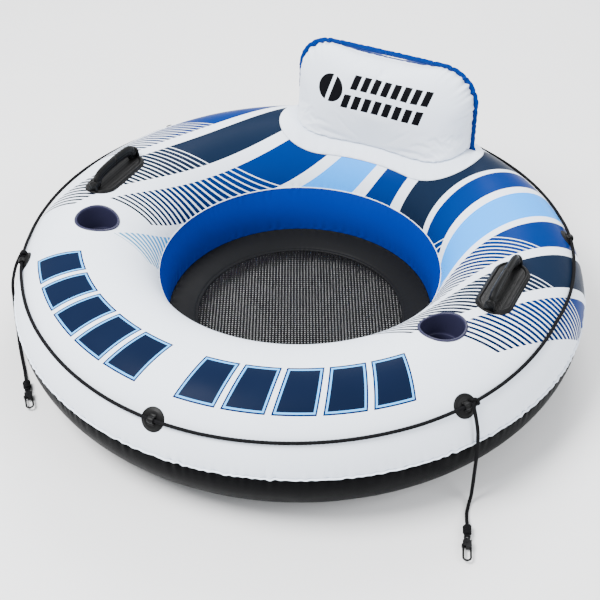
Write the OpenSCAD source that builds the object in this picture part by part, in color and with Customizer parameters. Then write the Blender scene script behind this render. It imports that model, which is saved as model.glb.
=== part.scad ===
// Towable water tube with a backrest: an inflated ring, a mesh seat floor, an inflated backrest,
// two cup holders, two moulded handles, a grab rope and two tow ropes with snap clips.
// The ring stands on z = 0 with its centre on the z axis, and the backrest is on the +y side.

/* [Ring] */
// Outside diameter of the inflated ring
ring_d = 1350; // [1250:10:1450]
// Half of the ring section's width
section_w = 174; // [165:1:180]
// Half of the ring section's height
section_h = 156; // [150:1:160]
// How far the loaded underside is pressed flat
base_flat = 6; // [4:1:10]
// Thickness of every inflated skin
skin_t = 4; // [3:0.5:5]
// How far the welded outer seam stands out
seam_out = 4; // [3:1:6]
// Height of the outer welded edge above the middle of the section
seam_up = 11; // [0:1:16]

/* [Seat floor] */
// Radius of the open mesh disc
mesh_r = 258; // [240:1:270]
// Height of the mesh edge above the ground
mesh_z = 39; // [34:1:44]
// How far the mesh sags in the middle
mesh_sag = 9; // [4:1:14]

/* [Backrest] */
// Width of the backrest
rest_w = 490; // [440:10:520]
// Height of the backrest above its base
rest_h = 214; // [180:1:230]
// Radius of the backrest's upper corners
rest_corner = 95; // [70:5:110]
// Depth of the front half at its base
rest_front = 81; // [70:1:95]
// Depth of the back half at its base
rest_back = 72; // [60:1:85]
// Angle that the backrest leans back at rest
rest_lean = 0; // [0:1:8]
// Backward swing that the bevelled back of the base leaves room for
rest_swing = 15; // [10:1:16]

/* [Cup holders] */
// Inside radius of a cup holder
cup_r = 46; // [40:0.5:48]
// Depth of a cup holder below the ring's crest
cup_depth = 88; // [70:1:95]
// Angle of each cup holder to either side of the front
cup_angle = 65.5; // [62:0.5:68]

/* [Handles] */
// Length of a handle's base pad
pad_l = 200; // [190:1:210]
// Width of a handle's base pad
pad_w = 83; // [80:1:90]
// Height of a grip's top above the ring
grip_h = 45; // [42:1:50]

/* [Ropes] */
// Diameter of the grab rope and the tow ropes
rope_d = 8; // [7:0.5:9]
// Radius of a rope patch
patch_r = 26; // [22:1:30]

/* [Hidden] */
$fn = 48;

vinyl_white = [0.93, 0.94, 0.97];
vinyl_blue = [0.05, 0.28, 0.65];
vinyl_black = [0.13, 0.13, 0.14];
cup_navy = [0.14, 0.14, 0.30];
rubber_black = [0.10, 0.10, 0.10];
rope_black = [0.06, 0.06, 0.07];

// The ring's section
crest_r = ring_d / 2 - section_w;
mid_z = section_h - base_flat;
crest_z = mid_z + section_h;
seam_half = 2;
inner_shrink = 7;
top_seam_a = 168;
floor_seam_r = crest_r - 179;
floor_seam_z = 60;
wall_bulge = 9;
under_w = 132;
flat_a = asin(-mid_z / section_h);
seam_a = asin((seam_up + seam_half) / section_h);
under_seam_a = asin((seam_up - seam_half) / section_h);
seam_r = section_point(asin(seam_up / section_h))[0];

// A point of the section's upper outline, with the inner side a little narrower
function section_point(a) =
    [crest_r + (section_w - (cos(a) < 0 ? inner_shrink : 0)) * cos(a), mid_z + section_h * sin(a)];
function normal_angle(a) = atan2(sin(a) / section_h, cos(a) / section_w);
top_line = [for (i = [0:30]) section_point(seam_a + (top_seam_a - seam_a) * i / 30)];
wall_line = let (p = section_point(top_seam_a)) [for (i = [0:8])
    [p[0] + (floor_seam_r - p[0]) * i / 8 - wall_bulge * sin(180 * i / 8),
     p[1] + (floor_seam_z - p[1]) * i / 8]];
under_line = [for (i = [0:8]) let (a = 180 + 90 * i / 8)
    [floor_seam_r + under_w + under_w * cos(a), floor_seam_z + floor_seam_z * sin(a)]];
side_line = [for (i = [0:12]) let (a = flat_a + (under_seam_a - flat_a) * i / 12)
    [crest_r + section_w * cos(a), mid_z + section_h * sin(a)]];
bottom_line = concat(under_line, side_line);

// Moves every point of an open line sideways, to its left for a positive t
function shifted(line, t) = [for (i = [0:len(line) - 1])
    let (d = line[min(i + 1, len(line) - 1)] - line[max(i - 1, 0)], n = [-d[1], d[0]] / norm(d))
    line[i] + t * n];
function reversed(line) = [for (i = [len(line) - 1:-1:0]) line[i]];
function strip(line, t) = concat(line, reversed(shifted(line, t)));

module revolved(line, t) { rotate_extrude($fn = 144) polygon(strip(line, t)); }

// A layer of thickness t that lies on the ring's upper skin
module over_skin(t) { revolved(top_line, -t); }

// Puts its children on the ring's skin with +z along the skin's normal
module on_ring(phi, a) {
    p = section_point(a);
    rotate([0, 0, phi]) translate([p[0], 0, p[1]]) rotate([0, 90 - normal_angle(a), 0]) children();
}

// The cup holders' place, a little inside the crest
cup_centre_r = crest_r - 23;
cup_wall = 3.5;
cup_rim = 4;
skin_gap = 0.1;
module cup_place(side) {
    rotate([0, 0, -90 + side * cup_angle]) translate([cup_centre_r, 0, 0]) children();
}

module tube_top_skin() {
    color(vinyl_white) difference() {
        revolved(top_line, skin_t);
        for (side = [-1, 1])
            cup_place(side) translate([0, 0, mid_z])
                cylinder(r = cup_r + cup_wall + skin_gap, h = section_h + 20);
        on_ring(valve_phi, valve_a) translate([0, 0, -30]) cylinder(r = valve_neck_r + skin_gap, h = 60);
    }
}
module tube_inner_wall() { color(vinyl_blue) revolved(wall_line, skin_t); }
module tube_bottom_skin() { color(vinyl_black) revolved(bottom_line, skin_t); }

module flat_ring(r0, r1, z0, z1) {
    rotate_extrude($fn = 144) translate([r0, z0]) square([r1 - r0, z1 - z0]);
}
module outer_seam() {
    color(vinyl_black)
        flat_ring(seam_r - skin_t, seam_r + seam_out,
                  mid_z + seam_up - seam_half, mid_z + seam_up + seam_half);
}
module inner_top_seam() {
    p = section_point(top_seam_a);
    color(vinyl_white) flat_ring(p[0] - 6, p[0] + 1, p[1] - 1.5, p[1] + 1.5);
}
module floor_seam() {
    color(vinyl_black) flat_ring(floor_seam_r - 7, floor_seam_r + 1, floor_seam_z - 2, floor_seam_z + 2);
}

border_overlap = 8;
module seat_floor_border() {
    color(vinyl_black) rotate_extrude($fn = 144) polygon([
        [mesh_r - border_overlap, mesh_z + 1.5], [mesh_r, mesh_z + 1.5],
        [floor_seam_r - 7, floor_seam_z - 2], [floor_seam_r - 7, floor_seam_z + 1.5],
        [mesh_r, mesh_z + 4.5], [mesh_r - border_overlap, mesh_z + 4.5]]);
}
module seat_mesh() {
    mesh_t = 3;
    dish = [for (i = [0:6]) let (s = i / 6) [mesh_r * s, mesh_z + 1.5 - mesh_t - mesh_sag * (1 - s * s)]];
    upper = reversed([for (i = [0:5]) dish[i] + [0, mesh_t]]);
    color(vinyl_black) rotate_extrude($fn = 144) polygon(concat(dish, [[mesh_r, mesh_z + 1.5]], upper));
}
module mesh_weld_ring() {
    color(vinyl_black) flat_ring(mesh_r - border_overlap, mesh_r - 1, mesh_z + 4.5, mesh_z + 6.5);
}

// Backrest
patch_t = 2;
patch_half_w = 276;
patch_corner = 105;
patch_front_r = crest_r - 119;
patch_back_r = crest_r + 115;
rest_y = crest_r - 12;
rest_z = crest_z + patch_t;
rest_gap = 1;
corner_x = rest_w / 2 - rest_corner;
corner_z = rest_h - rest_corner;
fullness = 2.4;
base_fullness = 1.2;
base_swell = 0.065;
base_curve = 255;
front_clear = 4;
fan_steps = 40;
ring_steps = 9;

module backrest_base_patch() {
    color(vinyl_white) intersection() {
        over_skin(patch_t);
        translate([0, 0, mid_z]) linear_extrude(300)
            offset(r = patch_corner, $fn = 72) offset(delta = -patch_corner) intersection() {
                translate([-patch_half_w, 250]) square([2 * patch_half_w, 450]);
                difference() {
                    circle(r = patch_back_r, $fn = 144);
                    circle(r = patch_front_r, $fn = 144);
                }
            }
    }
}

// Distance from the middle of the base to the backrest's outline, in direction b
function outline_r(b) =
    let (d = [abs(cos(b)), sin(b)], c = [corner_x, corner_z], m = d * c)
    (d[0] > 0 && d[1] / d[0] * (rest_w / 2) <= corner_z) ? rest_w / 2 / d[0] :
    (d[1] > 0 && d[0] / d[1] * rest_h <= corner_x) ? rest_h / d[1] :
    m + sqrt(m * m - c * c + rest_corner * rest_corner);

// Height of the ring's skin over a point of the ground
function ground(x, y) =
    let (r = norm([x, y]) - crest_r, n = r / (section_w - (r < 0 ? 7 : 0)))
    mid_z + section_h * sqrt(max(0, 1 - n * n));

// Height of the backrest's lower edge at depth d: the front follows the ring, the back rises from it
function foot(x, d, side) = side > 0 ? d * tan(rest_swing + 1)
    : (ground(x, rest_y - seam_half - d) + patch_t + d * tan(front_clear) - rest_z - d * sin(rest_lean))
        / cos(rest_lean);

// A point of a half shell: side is -1 for the front and 1 for the back, cut is the inset
function shell_point(b, s, depth, side, cut) =
    let (high = s * sin(b), r = (outline_r(b) - cut) * s,
         full = fullness + base_fullness * pow(1 - sin(b), 2),
         swell = side < 0 ? base_swell + pow(r * cos(b) / base_curve, 2) : 0,
         deep = depth * (1 + swell * pow(1 - high, 2)) - cut,
         d = deep * sqrt(max(0, 1 - pow(s, full))))
    [r * cos(b), side * (seam_half + d),
     rest_gap + r * sin(b) + foot(r * cos(b), d, side) * pow(1 - high, side > 0 ? 1 : 2)];

module half_shell(depth, side) {
    nb = fan_steps;
    ns = ring_steps;
    layer = 1 + (nb + 1) * ns;
    function id(l, j, k) = l * layer + (k == 0 ? 0 : 1 + j * ns + k - 1);
    points = [for (cut = [0, skin_t]) each concat(
        [shell_point(90, 0, depth, side, cut)],
        [for (j = [0:nb]) for (k = [1:ns]) shell_point(180 * j / nb, sin(90 * k / ns), depth, side, cut)])];
    outer = [for (j = [0:nb - 1]) for (k = [0:ns - 1]) k == 0
        ? [id(0, j, 0), id(0, j, 1), id(0, j + 1, 1)]
        : [id(0, j, k), id(0, j, k + 1), id(0, j + 1, k + 1), id(0, j + 1, k)]];
    inner = [for (j = [0:nb - 1]) for (k = [0:ns - 1]) k == 0
        ? [id(1, j + 1, 1), id(1, j, 1), id(1, j, 0)]
        : [id(1, j + 1, k), id(1, j + 1, k + 1), id(1, j, k + 1), id(1, j, k)]];
    rim = [for (j = [0:nb - 1]) [id(0, j, ns), id(1, j, ns), id(1, j + 1, ns), id(0, j + 1, ns)]];
    right = [for (k = [0:ns - 1]) [id(0, 0, k), id(1, 0, k), id(1, 0, k + 1), id(0, 0, k + 1)]];
    left = [for (k = [0:ns - 1]) [id(0, nb, k + 1), id(1, nb, k + 1), id(1, nb, k), id(0, nb, k)]];
    faces = concat(outer, inner, rim, right, left);
    polyhedron(points, side > 0 ? [for (f = faces) reversed(f)] : faces);
}
module rest_place() { translate([0, rest_y, rest_z]) rotate([-rest_lean, 0, 0]) children(); }
module backrest_front_skin() { color(vinyl_white) rest_place() half_shell(rest_front, -1); }
module backrest_back_skin() { color(vinyl_blue) rest_place() half_shell(rest_back, 1); }
module rest_outline(grow) {
    translate([-rest_w / 2 - grow, rest_gap]) square([rest_w + 2 * grow, corner_z - rest_gap]);
    translate([-corner_x, rest_gap]) square([2 * corner_x, rest_h + grow - rest_gap]);
    for (side = [-1, 1]) translate([side * corner_x, corner_z]) circle(r = rest_corner + grow);
}
module backrest_seam() {
    color(vinyl_blue) rest_place() translate([0, seam_half, 0]) rotate([90, 0, 0])
        linear_extrude(2 * seam_half) difference() {
            rest_outline(6);
            rest_outline(-skin_t);
            translate([-200, -20]) square([400, 20 + rest_gap]);
        }
}

// Cup holders: a straight cup whose rim follows the ring's skin
module under_cover(t) {
    cover = shifted(top_line, -t);
    rotate_extrude($fn = 144) polygon(concat(cover, [[cover[30][0], 100], [cover[0][0], 100]]));
}
module cup_holder(side) {
    cup_floor = crest_z - cup_depth;
    color(cup_navy) intersection() {
        cup_place(side) difference() {
            translate([0, 0, cup_floor - cup_wall]) cylinder(r = cup_r + cup_wall, h = cup_depth + 60);
            translate([0, 0, cup_floor]) cylinder(r = cup_r, h = cup_depth + 70);
        }
        under_cover(cup_rim);
    }
}
module cup_holder_left() { cup_holder(-1); }
module cup_holder_right() { cup_holder(1); }

// Handles: an oval pad with a rim and two ears, and a grip that swings between the ears
pad_t = 3;
pad_rim_h = 6;
pad_rim_w = 5;
pin_r = 6;
pin_gap = 0.05;
pin_z = 16;
ear_y = 86;
ear_t = 8;
grip_end_y = 72;
grip_t = 8;
handle_y = -18;
module handle_place(side) { translate([side * (crest_r + 4), handle_y, 0]) children(); }
module pad_outline(cut) {
    w = pad_w / 2 - cut;
    translate([-w, -(pad_l - pad_w) / 2]) square([2 * w, pad_l - pad_w]);
    for (end = [-1, 1]) translate([0, end * (pad_l - pad_w) / 2]) circle(r = w);
}
module handle_base(side) {
    color(rubber_black) {
        intersection() {
            over_skin(pad_t);
            handle_place(side) translate([0, 0, mid_z]) linear_extrude(200) pad_outline(0);
        }
        intersection() {
            over_skin(pad_rim_h);
            handle_place(side) translate([0, 0, mid_z]) linear_extrude(200) difference() {
                pad_outline(0);
                pad_outline(pad_rim_w);
            }
        }
        handle_place(side) for (end = [-1, 1])
            translate([0, end * (ear_y + ear_t / 2), crest_z]) difference() {
            union() {
                translate([-11, -ear_t / 2, 1]) cube([22, ear_t, pin_z - 1]);
                translate([0, ear_t / 2, pin_z]) rotate([90, 0, 0]) cylinder(r = 11, h = ear_t);
            }
            translate([0, ear_t, pin_z]) rotate([90, 0, 0]) cylinder(r = pin_r + pin_gap, h = 2 * ear_t);
        }
    }
}
module handle_grip(side) {
    rise = grip_h - grip_t - pin_z;
    bow_r = (grip_end_y * grip_end_y + rise * rise) / (2 * rise);
    bow_a = 2 * asin(grip_end_y / bow_r);
    color(rubber_black) handle_place(side) translate([0, 0, crest_z]) {
        translate([0, 0, pin_z + rise - bow_r]) rotate([90, 0, 90]) rotate([0, 0, 90 - bow_a / 2])
            rotate_extrude(angle = bow_a, $fn = 144) translate([bow_r, 0]) {
                translate([-grip_t, -4]) square([2 * grip_t, 8]);
                for (s = [-4, 4]) translate([0, s]) circle(r = grip_t);
            }
        for (end = [-1, 1]) {
            translate([0, end * (grip_end_y + 1), pin_z]) sphere(r = 12);
            translate([0, end * grip_end_y, pin_z]) rotate([-90 * end, 0, 0]) cylinder(r = pin_r, h = 21);
        }
    }
}
module handle_base_left() { handle_base(-1); }
module handle_base_right() { handle_base(1); }
module handle_grip_left() { handle_grip(-1); }
module handle_grip_right() { handle_grip(1); }

// Grab rope: [angle round the ring, angle on the section], a patch at every second stop
grab_route = [[-180, 36], [-147.5, 34], [-120, 34], [-90, 32], [-61, 34], [-32, 36], [-2, 43], [28, 39],
              [59, 36], [90, 33], [120, 34], [150, 33], [180, 36]];
patch_stops = [for (i = [1:2:11]) grab_route[i]];
rope_r = rope_d / 2;
disc_t = 2.5;
rope_lift = disc_t + rope_r + 0.5;
function ring_point(phi, a, lift) =
    let (p = section_point(a) + lift * [cos(normal_angle(a)), sin(normal_angle(a))])
    [p[0] * cos(phi), p[0] * sin(phi), p[1]];

// One closed or open tube swept along a line of points
module swept(path, r, sides, up, closed) {
    n = len(path);
    rings = [for (i = [0:n - 1])
        let (after = path[closed ? (i + 1) % n : min(i + 1, n - 1)],
             before = path[closed ? (i + n - 1) % n : max(i - 1, 0)], t0 = after - before,
             t = t0 / norm(t0), u0 = cross(t, up), u = u0 / norm(u0), v = cross(t, u))
        for (k = [0:sides - 1]) path[i] + r * (cos(360 * k / sides) * u + sin(360 * k / sides) * v)];
    skin = [for (i = [0:n - (closed ? 1 : 2)]) for (k = [0:sides - 1])
        let (j = (i + 1) % n, m = (k + 1) % sides)
        [i * sides + k, j * sides + k, j * sides + m, i * sides + m]];
    caps = closed ? [] : [[for (k = [0:sides - 1]) k], [for (k = [sides - 1:-1:0]) (n - 1) * sides + k]];
    polyhedron(rings, concat(skin, caps));
}
module rope_patches() {
    color(vinyl_black) for (stop = patch_stops) intersection() {
        over_skin(disc_t);
        on_ring(stop[0], stop[1]) translate([0, 0, -15]) cylinder(r = patch_r, h = 30);
    }
}
module rope_loops() {
    inner = rope_r + 0.8;
    outer = inner + 3;
    color(vinyl_black) for (stop = patch_stops) on_ring(stop[0], stop[1]) difference() {
        union() {
            translate([0, 7, rope_lift]) rotate([90, 0, 0]) cylinder(r = outer, h = 14);
            translate([-outer, -7, disc_t - 0.8]) cube([2 * outer, 14, rope_lift - disc_t + 0.8]);
        }
        translate([0, 8, rope_lift]) rotate([90, 0, 0]) cylinder(r = inner, h = 16);
        translate([-inner, -8, -10]) cube([2 * inner, 16, 10 + rope_lift]);
        translate([-outer - 1, -8, -10]) cube([2 * outer + 2, 16, 10 + disc_t - 0.8]);
    }
}
module grab_rope() {
    path = [for (i = [0:71]) let (phi = -180 + 5 * i) ring_point(phi, lookup(phi, grab_route), rope_lift)];
    color(rope_black) swept(path, rope_r, 8, [0, 0, 1], true);
}

// Tow ropes: each hangs from a patch, reaches the ground and runs out to its knot
route_right = [[558, -336, 253], [564, -341, 243], [573, -348, 222], [581, -354, 196], [585, -358, 162],
               [586, -359, 120], [586, -359, 80], [586, -360, 40], [586, -362, 18], [586, -370, 7],
               [588, -382, 4], [591, -397, 4], [597, -414, 6], [603, -429, 10], [605, -434, 10.6]];
route_left = [[-561, -337, 247], [-566, -341, 236], [-573.5, -347.5, 215], [-580, -352.5, 190],
              [-585, -357, 160], [-583.5, -363, 120], [-581.5, -369, 80], [-580, -373, 40], [-579, -376, 18],
              [-574, -382.5, 7], [-566, -391, 4], [-549, -409, 4], [-528, -430.5, 4], [-507, -451.5, 4],
              [-486.5, -473.5, 6], [-475, -486, 10], [-470.6, -490.6, 10.6]];
function spline(p, i, t) =
    let (a = p[max(i - 1, 0)], b = p[i], c = p[i + 1], d = p[min(i + 2, len(p) - 1)])
    0.5 * (2 * b + (c - a) * t + (2 * a - 5 * b + 4 * c - d) * t * t + (3 * b - a - 3 * c + d) * t * t * t);
function smooth_line(p, n) =
    concat([for (i = [0:len(p) - 2]) for (k = [0:n - 1]) spline(p, i, k / n)], [p[len(p) - 1]]);
module tow_rope(route) { color(rope_black) swept(smooth_line(route, 2), rope_r, 8, [1, 0, 0], false); }
module tow_rope_left() { tow_rope(route_left); }
module tow_rope_right() { tow_rope(route_right); }

// Snap clips: x runs along the clip from the knot's middle to the hook's tip
clip_z = 10.6;
clip_left = [[-460, -502], -47];
clip_right = [[610, -447], -69];
knot_half = 15;
knot_r = 9.5;
body_x0 = 27;
body_l = 20;
body_w = 18;
body_t = 8;
gate_x = body_x0 + body_l - 7;
rod_r = 2.2;
bow_mid = 8.3;
bow_x = 69;
post_r = 3;
gate_gap = 0.3;
module clip_place(at) { translate([at[0][0], at[0][1], clip_z]) rotate([0, 0, at[1]]) children(); }
module tow_knot(at) {
    color(rope_black) clip_place(at) rotate([0, 90, 0]) rotate_extrude($fn = 48)
        polygon(concat([[0, -knot_half]], [for (i = [0:10]) let (x = -knot_half + 3 * i)
            [rope_r + (knot_r - rope_r) * pow(cos(90 * x / knot_half), 0.8), x]], [[0, knot_half]]));
}
module clip_eye(at) {
    color(rubber_black) clip_place(at) {
        difference() {
            translate([18, 0, -3]) cylinder(r = 7, h = 6);
            translate([18, 0, -4]) cylinder(r = 3.2, h = 8);
        }
        translate([24, 0, 0]) rotate([0, 90, 0]) cylinder(r = post_r, h = body_x0 + 6 - 24);
        translate([body_x0 + 6, 0, 0]) rotate([0, 90, 0]) cylinder(r = post_r + 1.5, h = 2);
    }
}
module clip_hook(at) {
    color(rubber_black) clip_place(at) {
        difference() {
            translate([body_x0, -body_w / 2, -body_t / 2]) cube([body_l, body_w, body_t]);
            translate([body_x0 - 1, 0, 0]) rotate([0, 90, 0]) cylinder(r = post_r + pin_gap, h = 8);
            translate([body_x0 + 5.9, 0, 0]) rotate([0, 90, 0]) cylinder(r = post_r + 1.6, h = 2.3);
            translate([gate_x, -bow_mid, -body_t]) cylinder(r = 4, h = 2 * body_t);
            translate([gate_x, -bow_mid - 5, -body_t]) cube([10, 11, 2 * body_t]);
        }
        translate([gate_x, -bow_mid, -body_t / 2]) cylinder(r = 1.5, h = body_t);
        for (z = [-body_t / 2, body_t / 2 - 1.2])
            translate([gate_x - 2.5, -bow_mid - 3, z]) cube([5, 12, 1.2]);
        translate([body_x0 + body_l - 2, bow_mid - 1, 0]) rotate([0, 90, 0])
            cylinder(r = rod_r, h = bow_x - body_x0 - body_l + 2);
        translate([bow_x, -0.5, 0]) rotate([0, 0, -90]) rotate_extrude(angle = 180, $fn = 96)
            translate([bow_mid - 0.5, 0]) circle(r = rod_r);
    }
}
module clip_gate(at) {
    color(rubber_black) clip_place(at) translate([gate_x, -bow_mid, 0]) difference() {
        union() {
            translate([0, 0, -2.4]) cylinder(r = 3.4, h = 4.8);
            rotate([0, 90, 0]) cylinder(r = rod_r, h = bow_x - gate_x - gate_gap);
        }
        translate([0, 0, -4]) cylinder(r = 1.5 + pin_gap, h = 8);
    }
}
module tow_knot_left() { tow_knot(clip_left); }
module tow_knot_right() { tow_knot(clip_right); }
module clip_eye_left() { clip_eye(clip_left); }
module clip_eye_right() { clip_eye(clip_right); }
module clip_hook_left() { clip_hook(clip_left); }
module clip_hook_right() { clip_hook(clip_right); }
module clip_gate_left() { clip_gate(clip_left); }
module clip_gate_right() { clip_gate(clip_right); }

// Valves: a flange, a neck with a straight bore, and a cap with a plug on a strap
valve_phi = 115;
valve_a = 15;
valve_neck_r = 12;
valve_bore_r = 7.5;
valve_top = 9;
rest_valve_z = 62;
module valve_body(neck_depth) {
    difference() {
        union() {
            translate([0, 0, -neck_depth]) cylinder(r = valve_neck_r, h = neck_depth + valve_top);
            cylinder(r = 22, h = 3);
        }
        translate([0, 0, -neck_depth - 1]) cylinder(r = valve_bore_r, h = neck_depth + valve_top + 2);
    }
    for (s = [-1, 1]) difference() {
        union() {
            translate([14, s * 6 - 1.5, 0]) cube([6, 3, valve_top + 2]);
            translate([17, s * 6 + 1.5, valve_top + 2]) rotate([90, 0, 0]) cylinder(r = 3, h = 3);
        }
        translate([17, 9, valve_top + 2]) rotate([90, 0, 0]) cylinder(r = 1 + pin_gap, h = 18);
    }
}
module valve_cap() {
    translate([0, 0, valve_top + 0.3]) cylinder(r = 12.5, h = 3.4);
    translate([0, 0, valve_top - 5]) cylinder(r = 6.2, h = 6);
    translate([8, -4, valve_top + 0.5]) cube([9, 8, 3]);
    translate([17, 4.2, valve_top + 2]) rotate([90, 0, 0]) cylinder(r = 1.7, h = 8.4);
    translate([17, 7.4, valve_top + 2]) rotate([90, 0, 0]) cylinder(r = 1, h = 14.8);
}
module rest_valve_place() {
    rest_place() translate([0, seam_half + rest_back * 0.985, rest_valve_z + 14])
        rotate([-90, 90, 0]) children();
}
module ring_valve_place() { on_ring(valve_phi, valve_a) translate([0, 0, 0.4]) children(); }
module tube_valve() { color(vinyl_black) ring_valve_place() valve_body(12); }
module tube_valve_cap() { color(vinyl_black) ring_valve_place() valve_cap(); }
module backrest_valve() { color(vinyl_black) rest_valve_place() valve_body(8); }
module backrest_valve_cap() { color(vinyl_black) rest_valve_place() valve_cap(); }

tube_top_skin();
tube_inner_wall();
tube_bottom_skin();
outer_seam();
inner_top_seam();
floor_seam();
seat_floor_border();
seat_mesh();
mesh_weld_ring();
backrest_base_patch();
backrest_front_skin();
backrest_back_skin();
backrest_seam();
cup_holder_left();
cup_holder_right();
handle_base_left();
handle_base_right();
handle_grip_left();
handle_grip_right();
rope_patches();
rope_loops();
grab_rope();
tow_rope_left();
tow_rope_right();
tow_knot_left();
tow_knot_right();
clip_eye_left();
clip_eye_right();
clip_hook_left();
clip_hook_right();
clip_gate_left();
clip_gate_right();
tube_valve();
tube_valve_cap();
backrest_valve();
backrest_valve_cap();
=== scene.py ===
"""Looks of a towable water tube: printed vinyl ring, inflated backrest, net floor and ropes.

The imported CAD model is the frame. Lengths are in metres, with the origin on the floor at the ring's
centre, +Z up and +Y towards the backrest.
"""
import math

import bmesh
import bpy
import numpy as np
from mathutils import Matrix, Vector


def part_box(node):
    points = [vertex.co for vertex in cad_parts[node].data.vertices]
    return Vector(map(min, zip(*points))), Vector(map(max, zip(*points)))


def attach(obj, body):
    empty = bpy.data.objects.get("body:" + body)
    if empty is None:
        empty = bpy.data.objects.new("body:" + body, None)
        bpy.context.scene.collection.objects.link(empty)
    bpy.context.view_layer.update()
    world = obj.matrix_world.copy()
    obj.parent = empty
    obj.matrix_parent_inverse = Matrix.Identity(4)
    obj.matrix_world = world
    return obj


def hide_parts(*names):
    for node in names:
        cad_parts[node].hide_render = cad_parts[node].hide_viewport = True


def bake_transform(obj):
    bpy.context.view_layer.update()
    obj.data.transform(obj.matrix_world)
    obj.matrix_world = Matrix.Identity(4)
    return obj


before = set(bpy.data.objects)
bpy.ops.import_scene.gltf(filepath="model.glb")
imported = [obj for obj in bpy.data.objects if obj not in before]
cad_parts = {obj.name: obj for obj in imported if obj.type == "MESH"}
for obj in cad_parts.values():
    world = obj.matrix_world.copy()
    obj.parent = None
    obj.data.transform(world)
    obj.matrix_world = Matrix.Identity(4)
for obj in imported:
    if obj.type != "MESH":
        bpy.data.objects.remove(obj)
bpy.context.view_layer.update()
TAU = 2 * math.pi

# ---------------------------------------------------------------- sizes, from the frame
SEAM_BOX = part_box("outer_seam")
SEAM_OUT, SEAM_UP = 0.004, 0.011             # the outer weld stands out, and over the middle
SECTION_W, SECTION_H = 0.174, 0.156          # half width and half height of the inflated section
SEAM_A = math.degrees(math.asin(SEAM_UP / SECTION_H))
RING_R = SEAM_BOX[1].x - SEAM_OUT + SECTION_W * (1 - math.cos(math.radians(SEAM_A)))
CREST_R = RING_R - SECTION_W
MID_Z = (SEAM_BOX[0].z + SEAM_BOX[1].z) / 2 - SEAM_UP
CREST_Z = MID_Z + SECTION_H
INNER_SHRINK = 0.007
TOP_SEAM_A = 168
FLOOR_SEAM_R, FLOOR_SEAM_Z = CREST_R - 0.179, 0.060
WALL_BULGE = 0.009
UNDER_W = 0.132
FLAT_A = -math.degrees(math.asin(MID_Z / SECTION_H))
MESH_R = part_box("seat_mesh")[1].x
MESH_Z = 0.0405
REST_Y, REST_Z = 0.489, CREST_Z + 0.002
REST_W, REST_H, REST_CORNER = 0.490, 0.214, 0.095
ROPE_D = 0.008


# ---------------------------------------------------------------- the ring's section
def polar(r, phi, z):
    """Points at a radius, an angle round the ring in radians and a height."""
    return np.stack([r * np.cos(phi), r * np.sin(phi), z + 0 * phi], -1)


def section(a):
    """(radius, height) of the ring's upper outline at section angle a, in degrees."""
    a = np.asarray(a, float)
    c = np.cos(np.radians(a))
    w = np.where(c < 0, SECTION_W - INNER_SHRINK, SECTION_W)
    return CREST_R + w * c, MID_Z + SECTION_H * np.sin(np.radians(a))


def section_normal(a):
    a = np.radians(np.asarray(a, float))
    n = np.stack([np.cos(a) / SECTION_W, np.sin(a) / SECTION_H], -1)
    return n / np.linalg.norm(n, axis=-1, keepdims=True)


ARC_A = np.linspace(-5, TOP_SEAM_A + 6, 1200)
ARC_R, ARC_Z = section(ARC_A)
ARC_S = np.concatenate([[0], np.cumsum(np.hypot(np.diff(ARC_R), np.diff(ARC_Z)))])
ARC_S = np.interp(90, ARC_A, ARC_S) - ARC_S      # arc length outwards from the crest
ARC_RHO = CREST_R + ARC_S                         # radius on the flat, printed sheet


def sheet_rho(a):
    return np.interp(a, ARC_A, ARC_RHO)


def angle_of_rho(rho):
    return np.interp(-np.asarray(rho), -ARC_RHO, ARC_A)


def ring_point(phi, a, lift=0.0):
    """A point over the ring's skin; phi is the angle round the ring in degrees."""
    r, z = section(a)
    n = section_normal(a)
    r, z = r + lift * n[..., 0], z + lift * n[..., 1]
    return polar(r, np.radians(phi), z)


def ring_top_z(x, y):
    """Height of the ring's skin over a point of the ground near its crest."""
    c = (np.hypot(x, y) - CREST_R) / SECTION_W
    return MID_Z + SECTION_H * np.sqrt(np.clip(1 - c * c, 0, 1))


# ---------------------------------------------------------------- meshes
def new_object(name, data):
    obj = bpy.data.objects.new(name, data)
    bpy.context.scene.collection.objects.link(obj)
    return obj


def make_object(name, points, faces):
    mesh = bpy.data.meshes.new(name)
    mesh.from_pydata(np.asarray(points, float).tolist(), [], faces)
    mesh.update()
    mesh.validate()
    mesh.polygons.foreach_set("use_smooth", [True] * len(mesh.polygons))
    return new_object(name, mesh)


def grid_faces(rows, cols, wrap_rows=False, wrap_cols=False, flip=False, start=0):
    """Quads of a grid of points stored row by row."""
    i = np.arange(rows if wrap_rows else rows - 1)
    j = np.arange(cols if wrap_cols else cols - 1)
    i, j = (m.ravel() for m in np.meshgrid(i, j, indexing="ij"))
    i2, j2 = (i + 1) % rows, (j + 1) % cols
    quad = np.stack([i * cols + j, i * cols + j2, i2 * cols + j2, i2 * cols + j], 1) + start
    return (quad[:, ::-1] if flip else quad).tolist()


def grid_object(name, points, **kw):
    points = np.asarray(points, float)
    rows, cols = points.shape[:2]
    return make_object(name, points.reshape(-1, 3), grid_faces(rows, cols, **kw))


def join_parts(name, parts):
    """One object from several (points, faces) pairs."""
    points, faces, n = [], [], 0
    for p, f in parts:
        p = np.asarray(p, float).reshape(-1, 3)
        points.append(p)
        faces += [[k + n for k in face] for face in f]
        n += len(p)
    return make_object(name, np.concatenate(points), faces)


def ring_part(rings, closed=False):
    """Points and faces of a row of rings, with a face over each end if the row isn't closed."""
    rings = np.array(rings)
    rows, cols = rings.shape[:2]
    faces = grid_faces(rows, cols, wrap_rows=closed, wrap_cols=True)
    if not closed:
        faces += [list(range(cols))[::-1], [(rows - 1) * cols + k for k in range(cols)]]
    return rings.reshape(-1, 3), faces


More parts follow.
